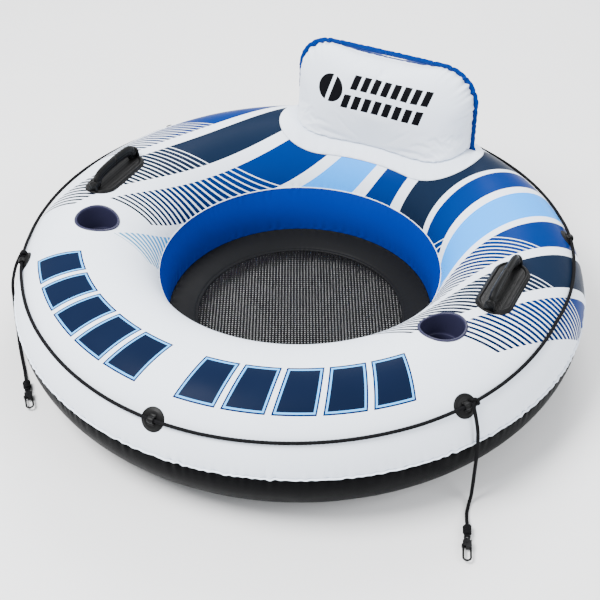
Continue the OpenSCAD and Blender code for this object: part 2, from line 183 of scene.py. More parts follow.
def frames_along(path, closed=False, up=(0, 0, 1)):
    """Side and normal vectors along a line, turned as little as possible."""
    path = np.asarray(path, float)
    if closed:
        t = np.roll(path, -1, 0) - np.roll(path, 1, 0)
    else:
        t = np.gradient(path, axis=0)
    t /= np.linalg.norm(t, axis=1, keepdims=True)
    u = np.cross(np.asarray(up, float), t)
    flat = np.linalg.norm(u, axis=1, keepdims=True)
    u = np.where(flat < 1e-3, [[1.0, 0, 0]], u / np.maximum(flat, 1e-9))
    u -= t * (u * t).sum(1, keepdims=True)
    u /= np.linalg.norm(u, axis=1, keepdims=True)
    return t, u, np.cross(t, u)


def tube_part(path, radius, sides=12, closed=False, up=(0, 0, 1), deep=1.0):
    """Points and faces of a tube. radius is a number, one per ring, or one per ring and side."""
    path = np.asarray(path, float)
    _, u, v = frames_along(path, closed, up)
    n = len(path)
    r = np.broadcast_to(np.asarray(radius, float).reshape(-1, 1) if np.ndim(radius) == 1
                        else radius, (n, sides))
    th = np.arange(sides) * TAU / sides
    points = (path[:, None] + (r * np.cos(th))[..., None] * u[:, None]
              + (r * np.sin(th) * deep)[..., None] * v[:, None])
    return ring_part(points, closed)


def spline(points, per):
    """A smooth line through given points, with per steps from one to the next."""
    p = np.asarray(points, float)
    q = np.concatenate([p[:1], p, p[-1:]])
    out = []
    for i in range(len(p) - 1):
        a, b, c, d = q[i:i + 4]
        for t in np.arange(per) / per:
            out.append(0.5 * (2 * b + (c - a) * t + (2 * a - 5 * b + 4 * c - d) * t * t
                              + (3 * b - a - 3 * c + d) * t ** 3))
    return np.array(out + [p[-1]])


def distance_along(path):
    """How far along a line each of its points is."""
    return np.concatenate([[0], np.cumsum(np.linalg.norm(np.diff(path, axis=0), axis=1))])


def even(path, step):
    """The same line with points an even distance apart."""
    s = distance_along(path)
    t = np.linspace(0, s[-1], max(2, int(round(s[-1] / step)) + 1))
    return np.stack([np.interp(t, s, path[:, k]) for k in range(3)], 1)


def length_of(path):
    return float(np.linalg.norm(np.diff(path, axis=0), axis=1).sum())


# ---------------------------------------------------------------- node materials
class Expr:
    """A node socket that takes part in sums, so that a pattern reads as a formula."""

    def __init__(self, graph, socket):
        self.graph, self.socket = graph, socket

    def op(self, kind, *others):
        return self.graph.math(kind, self, *others)

    def clamped(self):
        return self.op("MINIMUM", 1.0).op("MAXIMUM", 0.0)

    def __add__(self, o): return self.op("ADD", o)
    def __sub__(self, o): return self.op("SUBTRACT", o)
    def __mul__(self, o): return self.op("MULTIPLY", o)
    def __truediv__(self, o): return self.op("DIVIDE", o)
    def __rsub__(self, o): return self.graph.math("SUBTRACT", o, self)
    def __gt__(self, o): return self.op("GREATER_THAN", o)
    def __lt__(self, o): return self.op("LESS_THAN", o)
    __radd__, __rmul__ = __add__, __mul__


class Graph:
    """A material's node tree, with short calls for the nodes that the materials share."""

    def __init__(self, name, colour, roughness=0.5, **sockets):
        self.mat = bpy.data.materials.new(name)
        self.mat.use_nodes = True
        self.nodes, self.links = self.mat.node_tree.nodes, self.mat.node_tree.links
        self.shader = self.nodes["Principled BSDF"]
        self.set("Base Color", (*colour, 1))
        self.set("Roughness", roughness)
        for key, value in sockets.items():
            self.set(key.replace("_", " "), value)
        self.mat.diffuse_color = (*colour, 1)

    def set(self, socket, value):
        self.shader.inputs[socket].default_value = value

    def wire(self, value, socket):
        if isinstance(value, Expr):
            value = value.socket
        if isinstance(value, bpy.types.NodeSocket):
            self.links.new(value, socket)
        else:
            socket.default_value = value

    def math(self, kind, *values):
        node = self.nodes.new("ShaderNodeMath")
        node.operation = kind
        for k, value in enumerate(values):
            self.wire(value, node.inputs[k])
        return Expr(self, node.outputs[0])

    def mix(self, share, a, b):
        node = self.nodes.new("ShaderNodeMix")
        node.data_type = "RGBA"
        self.wire(share, node.inputs["Factor"])
        for value, key in ((a, "A"), (b, "B")):
            socket = [s for s in node.inputs if s.name == key and s.type == "RGBA"][0]
            self.wire((*value, 1) if isinstance(value, tuple) else value, socket)
        return [s for s in node.outputs if s.type == "RGBA"][0]

    def sheet_xy(self):
        node = self.nodes.new("ShaderNodeUVMap")
        node.uv_map = "sheet"
        split = self.nodes.new("ShaderNodeSeparateXYZ")
        self.links.new(node.outputs[0], split.inputs[0])
        return Expr(self, split.outputs[0]), Expr(self, split.outputs[1])

    def noise(self, scale, detail=2.0):
        node = self.nodes.new("ShaderNodeTexNoise")
        node.inputs["Scale"].default_value = scale
        node.inputs["Detail"].default_value = detail
        node.inputs["Roughness"].default_value = 0.5
        place = self.nodes.new("ShaderNodeTexCoord")
        self.links.new(place.outputs["Object"], node.inputs["Vector"])
        return Expr(self, node.outputs[0])

    def steps(self, value, stops):
        """A value or colour that changes in steps, from (place, value) pairs."""
        node = self.nodes.new("ShaderNodeValToRGB")
        ramp = node.color_ramp
        ramp.interpolation = "CONSTANT"
        while len(ramp.elements) < len(stops):
            ramp.elements.new(1)
        for element, (at, colour) in zip(ramp.elements, stops):
            element.position = at
        for element, (at, colour) in zip(ramp.elements, stops):
            element.color = (*colour, 1) if isinstance(colour, tuple) else (colour,) * 3 + (1,)
        self.wire(value, node.inputs[0])
        return Expr(self, node.outputs[0])

    def bump(self, height, strength, distance, after=None):
        node = self.nodes.new("ShaderNodeBump")
        node.inputs["Strength"].default_value = strength
        node.inputs["Distance"].default_value = distance
        self.wire(height, node.inputs["Height"])
        if after is not None:
            self.links.new(after, node.inputs["Normal"])
        self.links.new(node.outputs[0], self.shader.inputs["Normal"])
        return node.outputs[0]

    def colour(self, value):
        self.wire(value, self.shader.inputs["Base Color"])

    def roughness(self, low, high, scale):
        self.wire(self.noise(scale, 3.0) * (high - low) + low, self.shader.inputs["Roughness"])


def shade(colour, k):
    return tuple(min(1.0, c * k) for c in colour)


WHITE = (0.78, 0.84, 0.93)
BLUE = (0.0, 0.020, 0.135)
LIGHT = (0.0, 0.30, 0.95)
NAVY = (0.0055, 0.0125, 0.030)
WALL_BLUE = (0.001, 0.021, 0.210)
BLACK = (0.0018, 0.0019, 0.0024)
CUP_NAVY = (0.020, 0.020, 0.046)
RUBBER = (0.0030, 0.0030, 0.0031)
CORD = (0.0035, 0.0035, 0.004)


def vinyl(name, colour, roughness=0.38, grain=0.25, gloss=0.05):
    """Welded PVC sheet: faint cloudiness, a fine grain and long soft waves."""
    g = Graph(name, colour, roughness, Specular_IOR_Level=gloss)
    g.colour(g.mix(g.noise(9.0, 4.0), shade(colour, 0.94), shade(colour, 1.05)))
    g.roughness(roughness - 0.06, roughness + 0.08, 30)
    waves = g.bump(g.noise(14.0, 2.0), 0.10, 0.004)
    g.bump(g.noise(2200.0, 3.0), grain, 0.0002, after=waves)
    return g


def paper(g):
    """The white vinyl between printed shapes."""
    return g.mix(g.noise(9.0, 4.0), shade(WHITE, 0.95), shade(WHITE, 1.03))


# ---------------------------------------------------------------- the print on the ring
# Slanted stripes on the flat sheet: (left edge, right edge, colour, hatch start, hatch end).
# Edges are places across the stripes; start and end are heights up the sheet.
STRIPES = [
    (-0.617, -0.517, BLUE, 0.378, 0.180), (-0.482, -0.386, NAVY, 0.247, -0.070),
    (-0.347, -0.240, BLUE, 0.265, -0.035), (-0.210, -0.115, LIGHT, 0.230, -0.148),
    (-0.085, -0.0175, BLUE, 0.20, 0.0), (0.0097, 0.089, NAVY, 0.20, 0.0),
    (0.110, 0.198, BLUE, 0.166, -0.03), (0.230, 0.350, LIGHT, 0.035, -0.10),
    (0.3745, 0.4795, BLUE, 0.130, -0.111), (0.5125, 0.622, NAVY, 0.014, -0.279),
    (0.6525, 0.7705, BLUE, 0.036, -0.250)]
BLOCK_EDGE, BLOCK_LINE = (0.001, 0.007, 0.055), (0.10, 0.42, 0.90)
BLOCK_CORE = (0.003, 0.0062, 0.018), (0.005, 0.011, 0.033)
DARK_INK, TEAL_INK, BLUE_INK = (0.001, 0.003, 0.008), (0.015, 0.20, 0.36), (0.0, 0.0045, 0.024)
HATCH_INK = [BLUE_INK, DARK_INK, DARK_INK, TEAL_INK, BLUE_INK, DARK_INK, DARK_INK, TEAL_INK,
             DARK_INK, DARK_INK, BLUE_INK]
U_LOW, U_SPAN = -0.70, 1.60
V_LOW, V_SPAN = -0.40, 1.00
HATCH_PITCH, HATCH_TOP, HATCH_FOOT = 0.0139, 0.80, 0.47


def stripe_coordinates(x, y):
    """u runs across the stripes and v up them; the ring's two sides slant a little differently."""
    y0 = y - 0.1
    guess = x - y0 * 0.55
    right = ((guess + 0.02) / 0.16).clamped()
    u = x - y0 * (right * 0.17 + 0.53)
    v = y - x * (0.185 - right * 0.10)
    return u, v


def stripe_stops():
    """Steps that are 1 between each stripe's edges and 0 in the gaps."""
    stops = [(0.0, 0.0)]
    for left, right, *_ in STRIPES:
        stops += [((left - U_LOW) / U_SPAN, 1.0), ((right - U_LOW) / U_SPAN, 0.0)]
    return stops


def held_stops(values):
    """Steps that hold each stripe's value up to the middle of the gap after it."""
    stops = [(0.0, values[0])]
    for before, after, value in zip(STRIPES[:-1], STRIPES[1:], values[1:]):
        stops.append(((before[1] + after[0]) / 2 - U_LOW, value))
    return [(at if k == 0 else at / U_SPAN, value) for k, (at, value) in enumerate(stops)]


def printed_vinyl():
    g = vinyl("vinyl_printed", WHITE, 0.36, gloss=0.02)
    x, y = g.sheet_xy()
    u, v = stripe_coordinates(x, y)
    at = (u - U_LOW) / U_SPAN
    inside = g.steps(at, stripe_stops())
    colour = g.steps(at, held_stops([s[2] for s in STRIPES]))
    start, end = (g.steps(at, held_stops([(stripe[k] - V_LOW) / V_SPAN for stripe in STRIPES]))
                  for k in (3, 4))
    vv = (v - V_LOW) / V_SPAN
    down = ((start - vv) / (start - end)).clamped()
    share = HATCH_TOP - down * (HATCH_TOP - HATCH_FOOT)   # how much of the pitch is inked
    phase = (v / HATCH_PITCH).op("FRACT")
    hatch = (phase < share) * (vv > end)
    solid = (vv > start).op("MAXIMUM", hatch)
    cover = inside * solid
    hatched = g.mix(down, colour, g.steps(at, held_stops(HATCH_INK)))
    ink = g.mix(vv > start, hatched, colour)
    printed = g.mix(cover, paper(g), ink)
    blocks, inner, core = lettering(g, x, y)
    printed = g.mix(blocks, printed, BLOCK_EDGE)
    printed = g.mix(inner, printed, BLOCK_LINE)
    printed = g.mix(core, printed, g.mix(g.noise(5.0, 1.0), *BLOCK_CORE))
    g.colour(printed)
    return g


BLOCK_STEP = 9.6
BLOCK_GROUPS = (-118.5, -63.0)
BLOCK_RHO = (0.507, 0.617)


def lettering(g, x, y):
    """Two rows of five slanted blocks round the front, as (outline, inner line, core) masks."""
    rho = (x * x + y * y).op("SQRT")
    phi = g.math("ARCTAN2", y, x) * (180 / math.pi)
    mid_rho = sum(BLOCK_RHO) / 2
    tall = (BLOCK_RHO[1] - BLOCK_RHO[0]) / 2
    up = tall - (rho - mid_rho).op("ABSOLUTE")
    side = None  # how far a point is inside its block, in steps along the row
    for centre in BLOCK_GROUPS:
        # slanted place along the row, in steps from its left end
        along = (phi - centre) / BLOCK_STEP + (rho - mid_rho) * 2.4
        edge = 2.5 - along.op("ABSOLUTE")
        cell = 0.44 - ((along + 0.5).op("FRACT") - 0.5).op("ABSOLUTE")
        here = cell.op("MINIMUM", edge)
        side = here if side is None else side.op("MAXIMUM", here)
    width = rho * (BLOCK_STEP * math.pi / 180)
    inset = (side * width).op("MINIMUM", up)
    return inset > 0.0, (inset > 0.0035) * (inset < 0.0075), inset > 0.0075


# ---------------------------------------------------------------- camera, floor and light
CAMERA_AT = (1.028, -2.027, 1.898)
CAMERA_LOOKS_AT = (0.0, 0.0, 0.1005)


def make_camera():
    data = bpy.data.cameras.new("camera")
    data.lens, data.sensor_width, data.shift_y = 71.1, 36.0, -0.0142
    camera = new_object("camera", data)
    camera.location = CAMERA_AT
    look = Vector(CAMERA_LOOKS_AT) - Vector(CAMERA_AT)
    camera.rotation_euler = look.to_track_quat("-Z", "Y").to_euler()
    bpy.context.scene.camera = camera


def area_light(name, at, target, size, power, colour=(1, 1, 1)):
    data = bpy.data.lights.new(name, "AREA")
    data.shape, data.size, data.energy, data.color = "DISK", size, power, colour
    light = new_object(name, data)
    light.location = at
    light.rotation_euler = (Vector(target) - Vector(at)).to_track_quat("-Z", "Y").to_euler()


def make_studio():
    floor = grid_object("floor", [[(x, y, 0) for x in (-12, 12)] for y in (-12, 12)], flip=True)
    g = Graph("floor_paper", (0.80, 0.80, 0.80), 0.9)
    g.colour(g.mix(g.noise(3.0), (0.79, 0.79, 0.79), (0.82, 0.82, 0.82)))
    floor.data.materials.append(g.mat)
    world = bpy.data.worlds.new("studio")
    bpy.context.scene.world = world
    world.use_nodes = True
    world.node_tree.nodes["Background"].inputs[0].default_value = (0.95, 0.97, 1.0, 1)
    world.node_tree.nodes["Background"].inputs[1].default_value = 1.2
    area_light("key", (-1.6, -2.2, 4.4), (0, 0, 0.2), 2.6, 600)
    area_light("fill", (3.2, -0.8, 2.6), (0, 0, 0.2), 2.2, 90, (0.97, 0.98, 1.0))
    area_light("back", (-0.5, 3.0, 3.6), (0, 0.2, 0.3), 2.2, 190)


make_camera()
make_studio()


# ---------------------------------------------------------------- materials
PRINTED = printed_vinyl()
WHITE_VINYL = vinyl("vinyl_white", WHITE, 0.36)
BLUE_VINYL = vinyl("vinyl_blue", (0.0, 0.022, 0.165), 0.34)
WALL_VINYL = vinyl("vinyl_wall_blue", WALL_BLUE, 0.40)
BLACK_VINYL = vinyl("vinyl_black", BLACK, 0.42, 0.5, 0.02)
NAVY_VINYL = vinyl("vinyl_navy", CUP_NAVY, 0.30, gloss=0.16)
BORDER_VINYL = vinyl("vinyl_border", (0.0064, 0.0066, 0.0072), 0.50, 0.6, 0.06)


def rubber(name, colour, roughness):
    g = Graph(name, colour, roughness, Specular_IOR_Level=0.12)
    g.colour(g.mix(g.noise(40.0, 4.0), shade(colour, 0.7), shade(colour, 1.5)))
    g.roughness(roughness - 0.08, roughness + 0.12, 90)
    g.bump(g.noise(900.0, 4.0), 0.25, 0.0004)
    return g


RUBBER_BLACK = rubber("rubber_black", RUBBER, 0.42)
NYLON_BLACK = rubber("nylon_black", (0.004, 0.004, 0.0045), 0.33)


def fibre(name, colour, scale):
    g = Graph(name, colour, 0.75, Specular_IOR_Level=0.06)
    g.colour(g.mix(g.noise(scale, 3.0), shade(colour, 0.5), shade(colour, 2.0)))
    g.bump(g.noise(scale * 2, 3.0), 0.5, 0.0004)
    return g


ROPE_BLACK = fibre("rope_black", CORD, 700.0)
NET_BLACK = fibre("net_black", (0.006, 0.006, 0.0065), 1500.0)


def dress(obj, material, body="tube", replaces=()):
    obj.data.materials.clear()
    obj.data.materials.append(material.mat)
    if replaces:
        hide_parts(*replaces)
    if body:
        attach(obj, body)
    return obj


# ---------------------------------------------------------------- the ring
RING_COLS = 1440
SEAM_EDGE = 0.7                              # both skins stop this far from the seam, in degrees
PHI = np.arange(RING_COLS) * 360.0 / RING_COLS
PHI_RAD = np.radians(PHI)


def waves(phi, periods, seed):
    """A sum of sines round the ring with seeded phases and slowly changing heights."""
    rng = np.random.default_rng(seed)
    out = np.zeros_like(phi)
    for n in periods:
        low = 1 + 0.5 * np.sin(np.radians(phi * rng.integers(3, 11)) + rng.uniform(0, TAU))
        out += low * np.sin(np.radians(phi * n) + rng.uniform(0, TAU))
    return out / math.sqrt(len(periods))


SEAM_SHIFT = 0.0011 * waves(PHI, (233, 187, 149, 97, 61), 3)
PUCKER = waves(PHI, (239, 211, 173, 131), 5)
INNER_PUCKER = waves(PHI, (139, 113, 83), 11)


def sheet_uv(obj, uv):
    """One pair of print coordinates per vertex, as the UV map that the print reads."""
    layer = obj.data.uv_layers.new(name="sheet")
    index = np.empty(len(obj.data.loops), int)
    obj.data.loops.foreach_get("vertex_index", index)
    layer.data.foreach_set("uv", np.asarray(uv, float).reshape(-1, 2)[index].ravel())


def cup_axes():
    return [(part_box(n)[0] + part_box(n)[1]) / 2 for n in ("cup_holder_left", "cup_holder_right")]


CUP_HIDE = 0.0493                            # the top skin is cut away this close to a cup's axis


def ring_grid(r, z, normals, puff):
    """Points over the ring: one row per section point, moved along its normal by puff."""
    rr = r[:, None] + normals[:, None, 0] * puff
    zz = z[:, None] + normals[:, None, 1] * puff
    return polar(rr, PHI_RAD, zz)


def build_top_skin():
    near = np.linspace(0, 1, 20) ** 1.6 * 22
    # rows lie close together by the seams and across the cups' holes
    a = np.concatenate([SEAM_A + SEAM_EDGE + near, np.linspace(30, 74, 11),
                        np.linspace(77, 119, 57), np.linspace(123, 156, 9),
                        [159, 162, 164.5, 166.5, TOP_SEAM_A]])
    r, z = section(a)
    n = section_normal(a)
    from_seam = sheet_rho(a[0]) - sheet_rho(a)
    to_wall = sheet_rho(a) - sheet_rho(TOP_SEAM_A)
    fade = np.exp(-from_seam / 0.011)[:, None]
    puff = 0.0013 * fade * PUCKER - 0.0011 * np.exp(-from_seam / 0.004)[:, None]
    puff = puff + 0.0009 * np.exp(-to_wall / 0.010)[:, None] * INNER_PUCKER
    puff = puff + 0.0007 * np.sin(np.radians(PHI * 3 + 40)) * np.sin(np.radians(a * 2))[:, None]
    p = ring_grid(r, z, n, puff)
    p[..., 2] += SEAM_SHIFT * np.exp(-from_seam / 0.006)[:, None]
    rows, cols = p.shape[:2]
    faces = grid_faces(rows, cols, wrap_cols=True, flip=True)
    flat = p.reshape(-1, 3)
    middle = flat[np.array(faces)].mean(1)
    keep = np.ones(len(faces), bool)
    for c in cup_axes():
        keep &= np.hypot(middle[:, 0] - c.x, middle[:, 1] - c.y) > CUP_HIDE
    obj = make_object("ring_top_skin", flat, [f for f, k in zip(faces, keep) if k])
    rho = sheet_rho(a)[:, None]
    sheet_uv(obj, np.stack([rho * np.cos(PHI_RAD), rho * np.sin(PHI_RAD)], -1))
    dress(obj, PRINTED, replaces=["tube_top_skin"])


def build_inner_wall():
    t = np.linspace(0, 1, 26)
    r0, z0 = section(TOP_SEAM_A)
    r = r0 + (FLOOR_SEAM_R - r0) * t - WALL_BULGE * np.sin(math.pi * t)
    z = z0 + (FLOOR_SEAM_Z - z0) * t
    tangent = np.stack([np.gradient(r), np.gradient(z)], -1)
    n = np.stack([tangent[:, 1], -tangent[:, 0]], -1)
    n /= np.linalg.norm(n, axis=1, keepdims=True)
    puff = 0.0010 * np.exp(-t / 0.09)[:, None] * INNER_PUCKER
    puff = puff + 0.0016 * np.exp(-(1 - t) / 0.10)[:, None] * waves(PHI, (101, 83, 67), 23)
    puff = puff * np.where(np.arange(26) % 25 == 0, 0, 1)[:, None]
    p = ring_grid(r, z, n, puff)
    dress(grid_object("ring_inner_wall", p, wrap_cols=True, flip=True), WALL_VINYL,
          replaces=["tube_inner_wall"])


def build_bottom_skin():
    a = np.concatenate([SEAM_A - SEAM_EDGE - np.linspace(0, 1, 16) ** 1.6 * 23,
                        np.linspace(-24, FLAT_A, 12)])
    side_r, side_z = section(a)
    n = section_normal(a)
    flat_r = np.linspace(side_r[-1], FLOOR_SEAM_R + UNDER_W, 6)[1:]
    under = np.radians(np.linspace(270, 180, 14)[1:])
    r = np.concatenate([side_r, flat_r, FLOOR_SEAM_R + UNDER_W + UNDER_W * np.cos(under)])
    z = np.concatenate([side_z, 0 * flat_r, FLOOR_SEAM_Z + FLOOR_SEAM_Z * np.sin(under)])
    normals = np.zeros((len(r), 2))
    normals[:len(n)] = n
    from_seam = np.concatenate([[0], np.cumsum(np.hypot(np.diff(r), np.diff(z)))])
    puff = 0.0014 * np.exp(-from_seam / 0.013)[:, None] * PUCKER
    puff = puff - 0.0011 * np.exp(-from_seam / 0.004)[:, None]
    p = ring_grid(r, z, normals, puff)
    p[..., 2] += SEAM_SHIFT * np.exp(-from_seam / 0.006)[:, None]
    p[..., 2] = np.maximum(p[..., 2], 0)
    dress(grid_object("ring_bottom_skin", p, wrap_cols=True), BLACK_VINYL,
          replaces=["tube_bottom_skin"])


def band(name, r, z, width, height, tilt, material, node, wobble=0.0, lift=None):
    """A thin welded band round the ring, width along the tilted direction and height across it."""
    c, s = math.cos(tilt), math.sin(tilt)
    shape = [(-1, -1), (-0.2, -1), (0.7, -0.8), (1, 0), (0.7, 0.8), (-0.2, 1), (-1, 1)]
    rows = []
    for u, v in shape:
        du = width / 2 * u + (wobble if u > 0 else 0)
        dv = height / 2 * v
        rr = r + c * du - s * dv
        zz = z + s * du + c * dv + (0 if lift is None else lift)
        rows.append(polar(rr, PHI_RAD, zz))
    obj = grid_object(name, np.array(rows), wrap_rows=True, wrap_cols=True)
    dress(obj, material, replaces=[node])


def build_bands():
    r, z = section(SEAM_A)
    band("ring_outer_seam", float(r) + 0.0003, float(z) + 0.0005, 0.0062, 0.0016, 0.0, WHITE_VINYL,
         "outer_seam", 0.0006 * PUCKER, SEAM_SHIFT)
    r, z = section(TOP_SEAM_A)
    band("ring_wall_seam", float(r) - 0.0006, float(z) - 0.0004, 0.0034, 0.0016, math.radians(-80),
         WHITE_VINYL, "inner_top_seam", 0.0003 * INNER_PUCKER)
    band("ring_floor_seam", FLOOR_SEAM_R - 0.0025, FLOOR_SEAM_Z, 0.0065, 0.0022, math.radians(12),
         BORDER_VINYL, "floor_seam")


def build_floor_border():
    r0, r1, z0, z1 = 0.2505, FLOOR_SEAM_R - 0.003, MESH_Z + 0.0006, FLOOR_SEAM_Z + 0.0008
    t = np.concatenate([[0, 0.02, 0.05, 0.085, 0.10, 0.115, 0.135], np.linspace(0.18, 1, 24)])
    r = r0 + (r1 - r0) * t
    z = z0 + (z1 - z0) * t + 0.0035 * np.sin(math.pi * t)
    z = z - 0.0016 * np.exp(-((t - 0.10) / 0.012) ** 2)        # the line of the net's weld
    z[0] -= 0.0012
    ripple = 0.0012 * np.exp(-(1 - t) / 0.12)[:, None] * waves(PHI, (97, 71, 59), 31)
    ripple = ripple + 0.0005 * np.exp(-t / 0.10)[:, None] * waves(PHI, (151, 119), 37)
    top = polar(r[:, None], PHI_RAD[::2], z[:, None] + ripple[:, ::2])
    low = top[::-1].copy()
    low[..., 2] -= 0.0016
    obj = grid_object("seat_border", np.concatenate([top, low]), wrap_rows=True, wrap_cols=True)
    dress(obj, BORDER_VINYL, replaces=["seat_floor_border", "mesh_weld_ring"])
    return obj


def net_z(x, y):
    """The net sags a little to its middle."""
    return MESH_Z - 0.0016 - 0.0085 * (1 - (x * x + y * y) / MESH_R ** 2)


NET_PITCH, NET_WAVE = 0.0077, 0.00045        # between threads, and how far they weave up and down
NET_COUNT = 33                               # threads on each side of the middle one
NET_WARP, NET_WEFT = (0.0048, 0.0011), (0.0037, 0.0009)      # (width, height) of a thread
NET_TURN = math.radians(27)                  # turn of the net's threads about the seat's axis


def net_thread(along_x, at, width, height, phase):
    """One thread of the net: a flat four-sided strip that goes over and under the others."""
    half = math.sqrt(max(0.0, (MESH_R - 0.0005) ** 2 - at * at))
    if half < 0.01:
        return None
    steps = max(4, int(4 * half / NET_PITCH))
    s = np.linspace(-half, half, steps)
    x, y = (s, 0 * s + at) if along_x else (0 * s + at, s)
    z = net_z(x, y) + NET_WAVE * np.cos(math.pi * s / NET_PITCH + phase)
    across = (0, 1) if along_x else (1, 0)
    c, sn = math.cos(NET_TURN), math.sin(NET_TURN)
    p = np.zeros((steps, 4, 3))
    for k, (u, v) in enumerate([(-1, 0), (0, 1), (1, 0), (0, -1)]):
        px, py = x + across[0] * u * width / 2, y + across[1] * u * width / 2
        p[:, k] = np.stack([c * px - sn * py, sn * px + c * py, z + v * height / 2], -1)
    points, faces = ring_part(p)
    return points, faces if along_x else [face[::-1] for face in faces]


def build_net(border):
    parts = []
    for k in range(-NET_COUNT, NET_COUNT + 1):
        parts.append(net_thread(False, k * NET_PITCH, *NET_WARP, math.pi * k))
        parts.append(net_thread(True, k * NET_PITCH, *NET_WEFT, math.pi * (k + 1)))
    obj = join_parts("seat_net", [p for p in parts if p])
    dress(obj, NET_BLACK, replaces=["seat_mesh"])


build_top_skin()
build_inner_wall()
build_bottom_skin()
build_bands()
build_net(build_floor_border())


# ---------------------------------------------------------------- pieces that lie on the skin
def on_skin(phi, rho, x, y, lift):
    """Points over the skin near a place: x runs outwards along the sheet, y round the ring."""
    a = angle_of_rho(rho + np.asarray(x))
    r, _ = section(a)
    return ring_point(phi + np.degrees(np.asarray(y) / r), a, lift)


def skin_frame(phi, a):
    """Origin, outward, round and upward directions at a place on the skin."""
    n = section_normal(a)
    c, s = math.cos(math.radians(phi)), math.sin(math.radians(phi))
    up = np.array([n[0] * c, n[0] * s, n[1]])
    out = np.array([n[1] * c, n[1] * s, -n[0]])
    return ring_point(phi, a), out, np.array([-s, c, 0]), up


def disc_part(phi, rho, profile, cols=56):
    """A thin turned piece laid on the skin, from (radius, lift) points."""
    th = np.arange(cols) * TAU / cols
    return ring_part([on_skin(phi, rho, r * np.cos(th), r * np.sin(th), h) for r, h in profile])


def build_base_patch():
    """The white patch welded over the ring under the backrest, with large rounded front corners."""
    half, r_in, r_out = 0.276, 0.382, 0.616
    tall, front, back = (r_out - r_in) / 2, 0.160, 0.072
    u = np.linspace(-1, 1, 161)
    v = np.linspace(-1, 1, 85)

    def spread(t, size):
        """Places from -size to size that lie closer together towards the patch's edge."""
        return np.sign(t) * (1 - (1 - np.abs(t)) ** 1.25) * size

    def beyond(x, y, corner, side):
        """How far a point is past the centre of its rounded corner, sideways and front to back."""
        return np.maximum(np.abs(x) - half + corner, 0), np.maximum(side * y - tall + corner, 0)

    # pull the square corners in to circular ones
    uu, vv = np.meshgrid(spread(u, half), spread(v, tall))
    x, y = uu.copy(), vv.copy()
    for corner, side in ((front, -1), (back, 1)):
        dx, dy = beyond(uu, vv, corner, side)
        k = np.where(dx * dy > 0, np.maximum(dx, dy) / np.maximum(np.hypot(dx, dy), 1e-9), 1.0)
        x -= np.sign(uu) * dx * (1 - k)
        y -= side * dy * (1 - k)
    inside = np.minimum(*(corner - np.hypot(*beyond(x, y, corner, side))
                          for corner, side in ((front, -1), (back, 1))))
    lift = 0.0004 + 0.0020 * np.clip(inside / 0.003, 0, 1) ** 0.6
    ripple = np.exp(-inside / 0.018) * np.clip(inside / 0.004, 0, 1)
    lift += 0.0012 * ripple * np.sin(x * 190 + y * 70)
    r = (r_in + r_out) / 2 + y
    w = np.where(r < CREST_R, SECTION_W - INNER_SHRINK, SECTION_W)
    phi = 90 - np.degrees(np.arcsin(x / r))
    p = ring_point(phi, np.degrees(np.arccos((r - CREST_R) / w)), lift)
    obj = grid_object("rest_base_patch", p, flip=True)
    solid = obj.modifiers.new("thickness", "SOLIDIFY")
    solid.thickness, solid.offset = 0.0016, -1
    dress(obj, WHITE_VINYL, replaces=["backrest_base_patch"])


def build_cup(side):
    """A navy cup whose rolled rim lies on the ring's skin."""
    node = f"cup_holder_{side}"
    lo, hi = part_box(node)
    cx, cy = (lo.x + hi.x) / 2, (lo.y + hi.y) / 2
    floor = lo.z + 0.0035
    th = np.arange(96) * TAU / 96
    # (radius, height over the skin or over the cup's floor, share that follows the skin)
    rim = [(0.0470, -0.010, 1), (0.0505, -0.0030, 1), (0.0524, -0.0006, 1), (0.0528, 0.0006, 1),
           (0.0523, 0.0016, 1), (0.0511, 0.0022, 1), (0.0497, 0.0025, 1), (0.0483, 0.0023, 1),
           (0.0471, 0.0016, 1), (0.0463, 0.0004, 1), (0.0460, -0.0025, 1), (0.0460, -0.008, 1)]
    wall = [(0.0460, 0.055, 0.25), (0.0459, 0.0330, 0), (0.0458, 0.0290, 0), (0.0450, 0.0272, 0),
            (0.0441, 0.0266, 0), (0.0437, 0.0255, 0), (0.0436, 0.012, 0),
            (0.0430, 0.006, 0), (0.0412, 0.002, 0), (0.0380, 0.0004, 0), (0.0300, 0, 0),
            (0.0296, 0.0008, 0), (0.0150, 0.0009, 0), (0.0005, 0.0009, 0)]
    under = [(0.0005, -0.0030, 0), (0.0400, -0.0030, 0), (0.0470, -0.0010, 0), (0.0490, 0.004, 0),
             (0.0494, 0.030, 0), (0.0494, 0.055, 0.3)]
    rows = []
    for r, h, share in rim + wall + under:
        x, y = cx + r * np.cos(th), cy + r * np.sin(th)
        z = share * (ring_top_z(x, y) + (h if share == 1 else -0.012)) + (1 - share) * (floor + h)
        rows.append(np.stack([x, y, z], -1))
    obj = grid_object(f"cup_{side}", np.array(rows), wrap_rows=True, wrap_cols=True, flip=True)
    dress(obj, NAVY_VINYL, replaces=[node])


# ---------------------------------------------------------------- the backrest
def rest_to_world(p):
    """From the backrest's own place (x across, y to the back, z up its face) to the scene."""
    return np.asarray(p, float) + [0, REST_Y, REST_Z]


def world_to_rest(p):
    return np.asarray(p, float) - [0, REST_Y, REST_Z]


